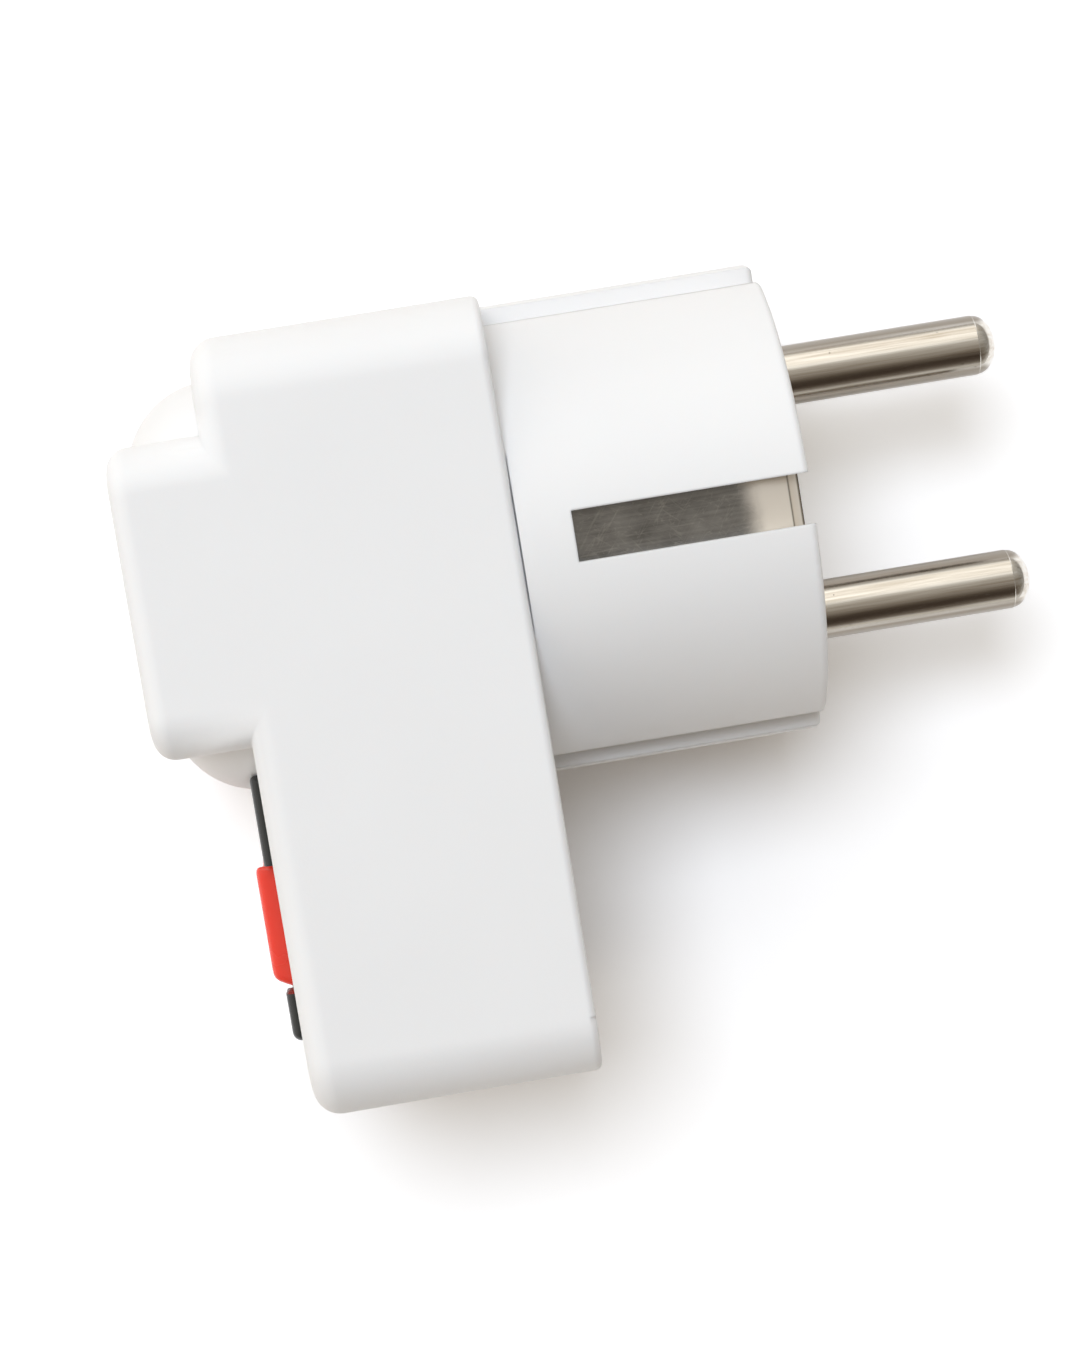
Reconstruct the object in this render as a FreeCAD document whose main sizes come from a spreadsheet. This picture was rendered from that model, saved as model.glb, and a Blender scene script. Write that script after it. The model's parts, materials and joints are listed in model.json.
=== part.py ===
# Travel adapter with a rocker switch: earthed round-pin plug behind, socket boss in front
# +X runs along the plug axis towards the pins, +Y towards the socket end, +Z across the housing
# The origin lies on the side face that the adapter rests on, below the plug axis
import FreeCAD, Part
import os
import re
import Sketcher

doc = FreeCAD.newDocument("TravelAdapter")
sheet = doc.addObject("Spreadsheet::Sheet", "Sizes")

SIZES = {
    # housing
    "house_depth": (21.8, "front face to rear rim"),
    "house_above": (18.75, "plug axis to the socket end"),
    "house_below": (40.25, "plug axis to the switch end"),
    "house_width": (37.5, "side face to side face"),
    "house_round": (5.0, "long edges"),
    "face_round": (2.0, "edge round the front face"),
    "seam_bevel": (0.6, "bevel of the rear rim"),
    "wall": (2.0, "housing wall"),
    "rim_wall": (1.2, "thin rim round the cover"),
    "inner_round": (3.2, "long edges of the cavity"),
    # socket boss
    "boss_dia": (32.8, "round boss"),
    "boss_reach": (7.2, "boss in front of the front face"),
    "boss_round": (7.0, "rounded top and bottom of the boss"),
    "boss_wall": (2.2, "boss wall"),
    "shoulder_half": (11.7, "half height of the flush side shoulders"),
    "shoulder_round": (3.6, "long edges of the shoulders"),
    "edge_round": (1.6, "front edge of the boss"),
    # apertures
    "round_gap": (19.0, "round pin holes, centre to centre"),
    "round_hole": (5.2, "round pin hole"),
    "blade_gap": (12.7, "flat blade slots, centre to centre"),
    "blade_slot": (2.3, "width of a blade slot"),
    "blade_tall": (7.2, "height of a blade slot"),
    "live_drop": (5.0, "plug axis to the live apertures"),
    "earth_rise": (11.9, "live apertures to the earth hole"),
    "earth_hole": (5.2, "earth hole"),
    "face_half": (10.4, "half height of the socket face"),
    "face_side": (13.2, "half width of the socket face"),
    "face_corner": (2.5, "corners of the socket face"),
    "face_sunk": (0.3, "socket face below the boss front"),
    "flange_thick": (1.0, "flange behind the socket face"),
    "flange_wide": (1.0, "flange beyond the window"),
    "flange_half": (9.0, "half height of the flange"),
    "hole_bevel": (0.4, "bevel round the apertures"),
    # cover and plug barrel
    "cover_thick": (2.2, "cover plate"),
    "cover_recess": (0.3, "cover plate below the rear rim"),
    "fit_gap": (0.1, "gap between fixed mouldings"),
    "barrel_reach": (21.8, "barrel behind the rear rim"),
    "barrel_wall": (3.15, "barrel wall"),
    "nose_wall": (2.2, "barrel wall round the pin carrier"),
    "groove_wall": (1.55, "barrel wall under the guide grooves"),
    "rim_round": (0.5, "edge of the barrel's nose"),
    "groove_wide": (5.5, "guide groove"),
    "groove_deep": (3.0, "depth of the guide groove"),
    "rib_half": (4.6, "outer side of the guide ribs"),
    "shell_half": (8.5, "inner side of the earth shells"),
    "step_deep": (2.75, "surface beside the ribs below the barrel"),
    "earth_slot": (3.8, "slot over the earth strip"),
    "slot_start": (4.1, "rear rim to the slot"),
    # pins and their carrier
    "pin_gap": (19.0, "plug pins, centre to centre"),
    "pin_dia": (4.8, "plug pin"),
    "pin_reach": (19.0, "pin beyond the barrel"),
    "tip_round": (1.7, "pin tip"),
    "root_dia": (5.2, "pin inside the carrier"),
    "neck_dia": (3.8, "neck at the carrier's face"),
    "neck_long": (0.3, "neck at the carrier's face"),
    "collar_dia": (7.4, "collar behind the carrier"),
    "collar_thick": (1.6, "collar"),
    "tail_dia": (3.0, "riveted tail"),
    "carrier_thick": (4.4, "pin carrier"),
    "nose_recess": (0.8, "carrier below the barrel's rim"),
    # earth strip
    "strip_thick": (0.8, "earth strip"),
    "strip_wide": (5.2, "earth strip"),
    "strip_recess": (1.15, "strip below the barrel surface"),
    "bridge_start": (1.2, "rear rim to the cross bridge"),
    "ramp_start": (17.8, "rear rim to the lead-in ramp"),
    "ramp_end": (20.3, "rear rim to the end bend"),
    "strip_end": (21.2, "rear rim to the strip's end"),
    "ramp_drop": (0.35, "fall of the ramp"),
    "bend_drop": (1.1, "fall of the end bend"),
    # strips and rivets
    "bus_thick": (0.8, "bus strips"),
    "bus_wide": (4.0, "bus strips"),
    "rivet_dia": (2.0, "contact rivets"),
    # switch
    "switch_drop": (25.0, "plug axis to the rocker's pivot"),
    "bezel_thick": (1.4, "bezel in front of the front face"),
    "bezel_above": (10.7, "pivot to the bezel's upper end"),
    "bezel_below": (10.6, "pivot to the bezel's lower end"),
    "bezel_wide": (16.4, "bezel"),
    "bezel_round": (0.8, "outer edge of the bezel"),
    "boss_gap": (0.1, "bezel to boss"),
    "well_half": (7.55, "half length of the rocker's opening"),
    "well_wide": (10.4, "width of the rocker's opening"),
    "frame_wall": (1.1, "switch body wall"),
    "frame_deep": (12.0, "switch body behind the front face"),
    "scallop_deep": (0.8, "cut-out in the bezel beside the raised half"),
    "scallop_end": (6.75, "pivot to the lower end of the cut-out"),
    "pivot_sink": (3.0, "pivot below the bezel"),
    "rocker_gap": (0.2, "rocker to the opening's sides"),
    "raised_top": (4.0, "raised half above the pivot"),
    "raised_from": (3.2, "pivot to the upper end of the raised half"),
    "raised_to": (6.0, "pivot to the lower end of the raised half"),
    "end_sweep": (7.25, "radius of the rocker's lower end"),
    "sunk_top": (1.8, "sunk half above the pivot at the step"),
    "sunk_end": (0.6, "sunk half above the pivot at its end"),
    "sunk_reach": (7.1, "pivot to the end of the sunk half"),
    "skirt_drop": (1.0, "underside below the pivot"),
    "raised_round": (0.85, "lower edge of the raised half"),
    "raised_crisp": (0.45, "upper edge of the raised half"),
    "raised_edge": (0.25, "side edges of the raised half"),
    "scoop_deep": (1.1, "hollow in the upper end of the raised half"),
    "scoop_dia": (23.8, "hollow in the upper end of the raised half"),
    "rocker_shell": (1.2, "wall of the rocker"),
    "stub_dia": (2.4, "pivot stubs"),
    "stub_play": (0.05, "radial play of the stubs"),
    "half_throw": (10.0, "rocker to each side of its middle"),
    "stem_dia": (3.8, "stem that guides the plunger"),
    "stem_long": (4.6, "pivot to the stem's end"),
    "plunger_dia": (2.0, "plunger"),
    "plunger_play": (0.05, "radial play of the plunger"),
    "plunger_head": (3.0, "pivot to the plunger's head"),
    "plunger_ball": (5.4, "pivot to the centre of the plunger's tip"),
    "plunger_clear": (0.25, "tip to the lever at each end of the throw"),
    "spring_room": (1.0, "pivot to the bore's end"),
    "spring_wire": (0.3, "spring wire"),
    "lever_throw": (6.0, "lever to each side of its middle"),
    "lever_thick": (0.6, "lever"),
    "lever_half": (6.6, "half length of the lever"),
    "lever_wide": (4.4, "lever"),
    "contact_out": (5.0, "pivot to the contact"),
    "contact_dia": (2.4, "contact buttons"),
    "contact_thick": (0.5, "moving contact"),
    "contact_pad": (3.4, "pad under the fixed contact"),
    "contact_clear": (0.08, "closed contacts"),
    "cradle_clear": (0.06, "lever to its knife edge"),
    "tab_wide": (4.8, "terminal tabs"),
    "tab_thick": (0.8, "terminal tabs"),
    # contact carrier and socket contacts
    "tray_half": (14.2, "half width of the contact carrier"),
    "tray_below": (9.1, "axis to the carrier's lower side"),
    "tray_mid": (0.0, "axis to the carrier's shoulder"),
    "tray_above": (10.6, "axis to the carrier's upper side"),
    "tower_half": (5.0, "half width of the carrier's earth tower"),
    "tray_deep": (11.6, "depth of the carrier"),
    "tray_floor": (1.0, "floor of the carrier"),
    "ear_thick": (1.6, "ears of the carrier"),
    "ear_drop": (13.4, "axis to the carrier's screws"),
    "ear_side": (12.0, "carrier screws beside the axis"),
    "ear_dia": (4.4, "posts under the carrier's ears"),
    "small_screw": (1.8, "carrier screws"),
    "small_long": (5.1, "carrier screws below their heads"),
    "clip_thick": (0.6, "contact clips"),
    "clip_wide": (5.8, "contact clips"),
    "clip_gap": (4.4, "grip of a clip"),
    "clip_long": (9.6, "leaf of a clip"),
    "clip_flare": (0.9, "flare of a clip's mouth"),
    # screws
    "screw_side": (12.8, "cover screws beside the axis"),
    "screw_near": (21.4, "axis to the near cover screws"),
    "screw_far": (34.4, "axis to the far cover screws"),
    "screw_dia": (2.6, "screw thread"),
    "screw_long": (9.0, "screw below its head"),
    "head_dia": (5.0, "screw head"),
    "head_thick": (1.8, "screw head"),
    "well_dia": (5.6, "screw well"),
    "well_wall": (0.9, "wall of a screw well"),
    "well_deep": (4.0, "well below the cover plate"),
    "post_dia": (5.8, "screw posts"),
}

for row, (alias, (size, note)) in enumerate(SIZES.items(), 1):
    sheet.set(f"A{row}", alias)
    sheet.set(f"B{row}", str(size))
    sheet.set(f"C{row}", note)
    sheet.setAlias(f"B{row}", alias)
doc.recompute()

WORDS = re.compile(r"\b(" + "|".join(SIZES) + r")\b")

# places shared by several pieces, as formulas of the sheet's sizes
MID = "(house_width / 2)"
FRONT = "(-house_depth / 2)"
BACK = "(house_depth / 2)"
NOSE = f"({BACK} + barrel_reach)"
BOSS = f"({FRONT} - boss_reach)"
COVER_OUT = f"({BACK} - cover_recess)"
COVER_IN = f"({COVER_OUT} - cover_thick)"
PIVOT_X = f"({FRONT} - bezel_thick + pivot_sink)"
PIVOT_Y = "(-switch_drop)"
TRAY_FRONT = f"({BOSS} + boss_wall + flange_thick + fit_gap)"
TRAY_BACK = f"({TRAY_FRONT} + tray_deep)"
LIVE_Y = "(-live_drop)"
EARTH_Y = "(earth_rise - live_drop)"
BARREL_R = "(house_width / 2)"  # the barrel is flush with both side faces
BORE_R = f"({BARREL_R} - barrel_wall)"
NOSE_R = f"({BARREL_R} - nose_wall)"
BORE_HALF = f"({BARREL_R} - groove_deep - groove_wall)"
STRIP_OUT = f"({BARREL_R} - strip_recess)"


def linked(formula):
    """the formula with every size read from the sheet"""
    return WORDS.sub(r"Sizes.\1", str(formula))


def value(formula):
    result = sheet.evalExpression(linked(formula))
    return float(getattr(result, "Value", result))


def bind(obj, **formulas):
    for prop, formula in formulas.items():
        obj.setExpression(prop.replace("_", "."), linked(formula))
    return obj


def place(obj, x="0", y="0", z="0", turn=None):
    if turn:
        obj.Placement.Rotation = turn
    bind(obj, Placement_Base_x=x, Placement_Base_y=y, Placement_Base_z=z)
    return obj


def box(name, x, y, z):
    """block between the low and high formulas of each axis"""
    obj = doc.addObject("Part::Box", name)
    spans = [f"({high}) - ({low})" for low, high in (x, y, z)]
    bind(obj, Length=spans[0], Width=spans[1], Height=spans[2])
    return place(obj, x[0], y[0], z[0])


TURNS = {
    "x": FreeCAD.Rotation(FreeCAD.Vector(0, 1, 0), 90),
    "z": FreeCAD.Rotation(),
}


def rod(name, dia, along, low, high, u, v):
    """cylinder along x (centre y, z) or along z (centre x, y)"""
    obj = doc.addObject("Part::Cylinder", name)
    bind(obj, Radius=f"({dia}) / 2", Height=f"({high}) - ({low})")
    at = {"x": (low, u, v), "z": (u, v, low)}[along]
    return place(obj, *at, turn=TURNS[along])


def joined(name, *shapes):
    obj = doc.addObject("Part::MultiFuse", name)
    obj.Shapes = list(shapes)
    obj.Refine = True
    return obj


def shared(name, *shapes):
    obj = doc.addObject("Part::MultiCommon", name)
    obj.Shapes = list(shapes)
    return obj


def cut(name, base, *tools):
    obj = doc.addObject("Part::Cut", name)
    obj.Base = base
    obj.Tool = tools[0] if len(tools) == 1 else joined(name + "_cuts", *tools)
    obj.Refine = True
    return obj


def rounded(name, base, radius, chosen, bevel=False):
    """fillet or chamfer on the edges that chosen(edge) picks"""
    doc.recompute()
    obj = doc.addObject("Part::Chamfer" if bevel else "Part::Fillet", name)
    obj.Base = base
    size = value(radius)
    picks = [i for i, edge in enumerate(base.Shape.Edges, 1) if chosen(edge)]
    if not picks:
        raise ValueError("no edge to round on " + name)
    obj.Edges = [(i, size, size) for i in picks]
    return obj


def ends(edge):
    return [edge.valueAt(edge.FirstParameter), edge.valueAt(edge.LastParameter)]


def runs_along(axis, edge, tolerance=1e-6):
    """true for a straight edge along x, y or z"""
    a, b = ends(edge)
    k = "xyz".index(axis)
    drift = max(abs(a[i] - b[i]) for i in range(3) if i != k)
    return drift < tolerance and abs(a[k] - b[k]) > tolerance


def lies_at(edge, axis, where, tolerance=1e-4):
    """true for an edge that lies in a plane across the axis"""
    k = "xyz".index(axis)
    box_ = edge.BoundBox
    low = (box_.XMin, box_.YMin, box_.ZMin)[k]
    high = (box_.XMax, box_.YMax, box_.ZMax)[k]
    return abs(low - where) < tolerance and abs(high - where) < tolerance


def sketched(body, name, plane, corners, offset="0"):
    """closed outline of straight sides, each corner bound to its two formulas"""
    sketch = body.newObject("Sketcher::SketchObject", name)
    support = [f for f in body.Origin.OriginFeatures if f.Role == plane + "_Plane"][0]
    sketch.AttachmentSupport = (support, "")
    sketch.MapMode = "FlatFace"
    sketch.setExpression("AttachmentOffset.Base.z", linked(offset))
    points = [FreeCAD.Vector(value(u), value(v), 0) for u, v in corners]
    count = len(points)
    for i in range(count):
        sketch.addGeometry(Part.LineSegment(points[i], points[(i + 1) % count]), False)
    for i in range(count):
        sketch.addConstraint(Sketcher.Constraint("Coincident", i, 2, (i + 1) % count, 1))
    for i, formulas in enumerate(corners):
        for kind, formula in zip(("DistanceX", "DistanceY"), formulas):
            link = Sketcher.Constraint(kind, -1, 1, i, 1, value(formula))
            number = sketch.addConstraint(link)
            sketch.setExpression(f"Constraints[{number}]", linked(formula))
    return sketch


def profile(name, plane, corners, low, high):
    """body padded from an outline in the XY, YZ or XZ plane"""
    body = doc.addObject("PartDesign::Body", name)
    start = f"-({high})" if plane == "XZ" else low  # the XZ plane faces -Y
    sketch = sketched(body, name + "_outline", plane, corners, start)
    pad = body.newObject("PartDesign::Pad", name + "_pad")
    pad.Profile = sketch
    bind(pad, Length=f"({high}) - ({low})")
    doc.recompute()
    return body


def turned(name, corners, x="0", y="0", z="0", turn=None):
    """body of revolution about X from an outline of (along, radius)"""
    body = doc.addObject("PartDesign::Body", name)
    sketch = sketched(body, name + "_outline", "XY", corners)
    lathe = body.newObject("PartDesign::Revolution", name + "_turned")
    lathe.Profile = sketch
    lathe.ReferenceAxis = (sketch, ["H_Axis"])
    lathe.Angle = 360
    place(body, x, y, z, turn)
    doc.recompute()
    return body


def eased(body, radius, chosen):
    """fillet inside a body on the edges that chosen(edge) picks"""
    doc.recompute()
    tip = body.Tip
    picks = [f"Edge{i}" for i, edge in enumerate(tip.Shape.Edges, 1) if chosen(edge)]
    fillet = body.newObject("PartDesign::Fillet", body.Name + "_round" + str(len(body.Group)))
    fillet.Base = (tip, picks)
    bind(fillet, Radius=radius)
    doc.recompute()
    return body


nodes = {}


def node(name, obj):
    obj.Label = name
    nodes[name] = obj
    return obj


def from_mid(formula):
    """low and high z of something centred on the plug axis"""
    return (f"{MID} - ({formula})", f"{MID} + ({formula})")


SIDES = ((-1, "low"), (1, "high"))
EARS = [("-ear_drop", f"{MID} + {side} * ear_side") for side, _ in SIDES]
SCREWS = [(f"-{drop}", f"{MID} + {side} * screw_side")
          for drop in ("screw_near", "screw_far") for side, _ in SIDES]


def front_housing():
    block = box("block", (FRONT, BACK), ("-house_below", "house_above"), ("0", "house_width"))
    block = rounded("block_long", block, "house_round", lambda e: runs_along("x", e))
    front, back = value(FRONT), value(BACK)
    block = rounded("block_face", block, "face_round", lambda e: lies_at(e, "x", front))
    block = rounded("block_rim", block, "seam_bevel", lambda e: lies_at(e, "x", back), True)

    # round boss with two shoulders that stand flush with the side faces
    deep = f"{FRONT} + face_round + wall"
    shoulders = box("shoulders", (BOSS, deep), ("-shoulder_half", "shoulder_half"), ("0", "house_width"))
    nose = value(BOSS)
    shoulders = rounded("shoulders_long", shoulders, "shoulder_round", lambda e: runs_along("x", e))
    shoulders = rounded("shoulders_edge", shoulders, "edge_round", lambda e: lies_at(e, "x", nose))
    drum = rod("drum", "boss_dia", "x", BOSS, deep, "0", MID)
    drum = rounded("drum_edge", drum, "boss_round", lambda e: lies_at(e, "x", nose))
    solid = joined("housing_solid", block, shoulders, drum)

    # cavity, rebate for the cover and the hollow of the boss
    side_in = ("wall", "house_width - wall")
    main = box("cavity", (f"{FRONT} + wall", BACK), ("wall - house_below", "house_above - wall"), side_in)
    main = rounded("cavity_long", main, "inner_round", lambda e: runs_along("x", e))
    rim_in = ("rim_wall", "house_width - rim_wall")
    rebate = box("rebate", (COVER_IN, f"{BACK} + 1"), ("rim_wall - house_below", "house_above - rim_wall"),
                 rim_in)
    rebate = rounded("rebate_long", rebate, "house_round - rim_wall", lambda e: runs_along("x", e))
    inner = (f"{BOSS} + boss_wall", f"{FRONT} + wall + 1")
    drum_in = rod("drum_in", "boss_dia - 2 * boss_wall", "x", *inner, "0", MID)
    nose_in = value(inner[0])
    drum_in = rounded("drum_in_edge", drum_in, "boss_round - boss_wall", lambda e: lies_at(e, "x", nose_in))
    arms_y = "shoulder_half - boss_wall"
    arms_in = box("arms_in", inner, (f"-({arms_y})", arms_y), ("1.5 * boss_wall", "house_width - 1.5 * boss_wall"))
    hollow_boss = joined("boss_hollow", drum_in, arms_in)
    window = box("switch_window", (f"{FRONT} - 1", f"{FRONT} + wall + 1"),
                 (f"{PIVOT_Y} - well_half - frame_wall - fit_gap", f"{PIVOT_Y} + well_half + frame_wall + fit_gap"),
                 from_mid("well_wide / 2 + frame_wall + fit_gap"))
    shell = cut("housing_shell", solid, main, rebate, hollow_boss, window)

    # screw posts for the cover and for the contact carrier
    post_top = f"{COVER_IN} - well_deep"
    posts, pilots = [], []
    for i, (y, z) in enumerate(SCREWS):
        posts.append(rod(f"post_{i}", "post_dia", "x", f"{FRONT} + wall / 2", post_top, y, z))
        pilots.append(rod(f"pilot_{i}", "screw_dia", "x", f"{post_top} - screw_long", f"{post_top} + 1", y, z))
    ear_top = f"{TRAY_BACK} - ear_thick"
    for i, (y, z) in enumerate(EARS):
        posts.append(rod(f"ear_post_{i}", "ear_dia", "x", f"{FRONT} + wall / 2", ear_top, y, z))
        pilots.append(rod(f"ear_pilot_{i}", "small_screw", "x", f"{FRONT} + wall", f"{ear_top} + 1", y, z))
    body = joined("housing_posts", shell, *posts)
    opening = face_plate("face_window", f"{BOSS} - 1", f"{BOSS} + boss_wall + 1", "0")
    return cut("front_housing", body, opening, *pilots)


def face_plate(name, low, high, margin):
    """rounded plate in the boss front, larger than the window by the margin"""
    plate = box(name, (low, high), (f"-face_half - ({margin})", f"face_half + ({margin})"),
                from_mid(f"face_side + ({margin})"))
    return rounded(name + "_corners", plate, "face_corner", lambda e: runs_along("x", e))


def socket_face():
    front = f"({BOSS} + face_sunk)"
    flange = f"({BOSS} + boss_wall)"
    plate = face_plate("face", front, flange, "-fit_gap")
    back = box("face_flange", (flange, f"{flange} + flange_thick"), ("-flange_half", "flange_half"),
               from_mid("face_side + flange_wide"))
    outer = value(front)
    rim = rounded("face_rim", plate, "hole_bevel / 2", lambda e: lies_at(e, "x", outer))
    solid = joined("face_solid", rim, back)
    span = (f"{BOSS} - 1", f"{flange} + flange_thick + 1")
    blade_y = (f"{LIVE_Y} - blade_tall / 2", f"{LIVE_Y} + blade_tall / 2")
    holes = []
    for sign, word in SIDES:
        holes.append(rod(f"round_{word}", "round_hole", "x", *span, LIVE_Y, f"{MID} + {sign} * round_gap / 2"))
        slot = f"{MID} + {sign} * blade_gap / 2"
        holes.append(box(f"blade_{word}", span, blade_y, (f"{slot} - blade_slot / 2", f"{slot} + blade_slot / 2")))
    holes.append(rod("earth_aperture", "earth_hole", "x", *span, EARTH_Y, MID))
    face = cut("face_pierced", solid, *holes)
    reach = [value(f"{MID} + {k} * (face_side - 0.5)") for k in (-1, 1)]
    tall = value("face_half - 0.5")

    def mouth(e):
        b = e.BoundBox
        return lies_at(e, "x", outer) and b.ZMin > reach[0] and b.ZMax < reach[1] and b.YMax < tall
    return rounded("socket_face", face, "hole_bevel", mouth, True)


def plug_body():
    edge = "rim_wall + fit_gap"
    cover_y = (f"{edge} - house_below", f"house_above - ({edge})")
    cover_z = (edge, f"house_width - ({edge})")
    plate = box("cover_plate", (COVER_IN, COVER_OUT), cover_y, cover_z)
    plate = rounded("cover_corners", plate, "house_round - rim_wall - fit_gap", lambda e: runs_along("x", e))
    neck_all = rod("neck_round", f"2 * {BARREL_R}", "x", COVER_OUT, f"{BACK} + fit_gap", "0", MID)
    neck_box = box("neck_box", (COVER_OUT, f"{BACK} + fit_gap"), cover_y, cover_z)
    neck = shared("neck", neck_all, neck_box)

    # barrel with guide grooves above and below and a step beside each rib
    barrel = rod("barrel_round", f"2 * {BARREL_R}", "x", f"{BACK} + fit_gap", NOSE, "0", MID)
    r = BARREL_R
    trims = []
    for sign, word in SIDES:
        deep_y = (f"{r} - groove_deep", f"{r} + 1") if sign > 0 else (f"-{r} - 1", f"groove_deep - {r}")
        step_y = (f"{r} - step_deep", f"{r} + 1") if sign > 0 else (f"-{r} - 1", f"step_deep - {r}")
        run = (f"{BACK} + fit_gap", f"{NOSE} + 1")
        trims.append(box(f"groove_{word}", run, deep_y, from_mid("groove_wide / 2")))
        for hand, tag in SIDES:
            lane = (f"{MID} + {hand} * rib_half", f"{MID} + {hand} * shell_half")
            lane = lane if hand > 0 else lane[::-1]
            trims.append(box(f"step_{word}_{tag}", run, step_y, lane))
    barrel = cut("barrel_ribbed", barrel, *trims)
    nose = value(NOSE)
    barrel = rounded("barrel_nose", barrel, "rim_round", lambda e: lies_at(e, "x", nose))
    solid = joined("plug_solid", plate, neck, barrel)

    # bore between the grooves, wider at the nose for the pin carrier
    seat = f"({NOSE} - nose_recess - carrier_thick)"
    bore = shared("bore", rod("bore_round", f"2 * {BORE_R}", "x", f"{COVER_IN} - 1", seat, "0", MID),
                  box("bore_flats", (f"{COVER_IN} - 1", seat), (f"-{BORE_HALF}", BORE_HALF),
                      ("0", "house_width")))
    nose_bore = shared("nose_room", rod("nose_round", f"2 * {NOSE_R}", "x", seat, f"{NOSE} + 1", "0", MID),
                       box("nose_flats", (seat, f"{NOSE} + 1"), (f"-{BORE_HALF} - fit_gap", f"{BORE_HALF} + fit_gap"),
                           ("0", "house_width")))
    lanes = []
    for sign, word in SIDES:
        out = (f"{MID} + {sign} * ({BORE_R} - 1)", f"{MID} + {sign} * {STRIP_OUT}")
        out = out if sign > 0 else out[::-1]
        lanes.append(box(f"strip_lane_{word}", (f"{BACK} + bridge_start", f"{NOSE} + 1"),
                         ("-strip_wide / 2 - fit_gap", "strip_wide / 2 + fit_gap"), out))
        through = (f"{MID} + {sign} * {BORE_R}", f"{MID} + {sign} * ({BARREL_R} + 1)")
        through = through if sign > 0 else through[::-1]
        lanes.append(box(f"earth_slot_{word}", (f"{BACK} + slot_start", f"{NOSE} + 1"),
                         ("-earth_slot / 2", "earth_slot / 2"), through))
    body = cut("plug_hollow", solid, bore, nose_bore, *lanes)

    # wells that sink the screw heads
    wells, holes = [], []
    for i, (y, z) in enumerate(SCREWS):
        wells.append(rod(f"well_{i}", "well_dia + 2 * well_wall", "x", f"{COVER_IN} - well_deep", COVER_OUT, y, z))
        floor = f"{COVER_IN} - well_deep + well_wall"
        holes.append(rod(f"well_room_{i}", "well_dia", "x", floor, f"{BACK} + 1", y, z))
        holes.append(rod(f"well_hole_{i}", "screw_dia + 2 * fit_gap", "x", f"{COVER_IN} - well_deep - 1",
                         f"{floor} + 1", y, z))
    body = joined("plug_wells", body, *wells)
    return cut("plug_body", body, *holes)


def pin_carrier():
    seat = f"({NOSE} - nose_recess - carrier_thick)"
    face = f"({NOSE} - nose_recess)"
    disc = shared("carrier_disc", rod("carrier_round", f"2 * ({NOSE_R} - fit_gap)", "x", seat, face, "0", MID),
                  box("carrier_flats", (seat, face), (f"-{BORE_HALF}", BORE_HALF), ("0", "house_width")))
    cuts = []
    for sign, word in SIDES:
        cuts.append(rod(f"pin_hole_{word}", "root_dia + fit_gap", "x", f"{seat} - 1", f"{face} + 1",
                        f"{sign} * pin_gap / 2", MID))
        reach = (f"{MID} + {sign} * ({STRIP_OUT} - strip_thick - bend_drop - fit_gap)", f"{MID} + {sign} * {BARREL_R}")
        reach = reach if sign > 0 else reach[::-1]
        cuts.append(box(f"carrier_notch_{word}", (f"{seat} - 1", f"{face} + 1"),
                        ("-strip_wide / 2 - fit_gap", "strip_wide / 2 + fit_gap"), reach))
    return cut("pin_carrier", disc, *cuts)


# seats of the bus strips along X: line and neutral at the pins, switched strip below them
BUS_HIGH = f"({COVER_IN} - 1.4)"
BUS_LOW = f"({BUS_HIGH} - 2 * bus_thick)"


def pin(name, sign):
    seat = f"{NOSE} - nose_recess - carrier_thick"
    root = f"{NOSE} - nose_recess"
    tip = f"({NOSE} + pin_reach)"
    r, stem, tail, collar = "pin_dia / 2", "root_dia / 2", "tail_dia / 2", "collar_dia / 2"
    outline = [(f"{BUS_HIGH} - bus_thick - 0.2", "0"), (tip, "0"), (tip, r), (f"{root} + neck_long", r),
               (f"{root} + neck_long", "neck_dia / 2"), (root, "neck_dia / 2"), (root, stem),
               (seat, stem), (seat, collar), (f"{seat} - collar_thick", collar),
               (f"{seat} - collar_thick", r), (BUS_HIGH, r), (BUS_HIGH, tail),
               (f"{BUS_HIGH} - bus_thick - 0.2", tail)]
    body = turned(name, outline, y=f"{sign} * pin_gap / 2", z=MID)
    end = value(tip)
    return eased(body, "tip_round", lambda e: lies_at(e, "x", end))


def earth_strip():
    near = f"{BACK} + bridge_start"
    out = STRIP_OUT
    t = "strip_thick"
    ramp = (f"{BACK} + ramp_start", f"{BACK} + ramp_end", f"{BACK} + strip_end")
    outer = [(near, out), (ramp[0], out), (ramp[1], f"{out} - ramp_drop"), (ramp[2], f"{out} - bend_drop")]
    inner = [(ramp[2], f"{out} - bend_drop - {t}"), (ramp[1], f"{out} - ramp_drop - {t} - 0.2"),
             (ramp[0], f"{out} - {t}"), (f"{near} + {t}", f"{out} - {t}")]
    upper = [(x, f"{MID} + {z}") for x, z in outer + inner]
    lower = [(x, f"{MID} - ({z})") for x, z in (outer + inner)[::-1]]
    return profile("earth_strip", "XZ", upper + lower, "-strip_wide / 2", "strip_wide / 2")


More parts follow.
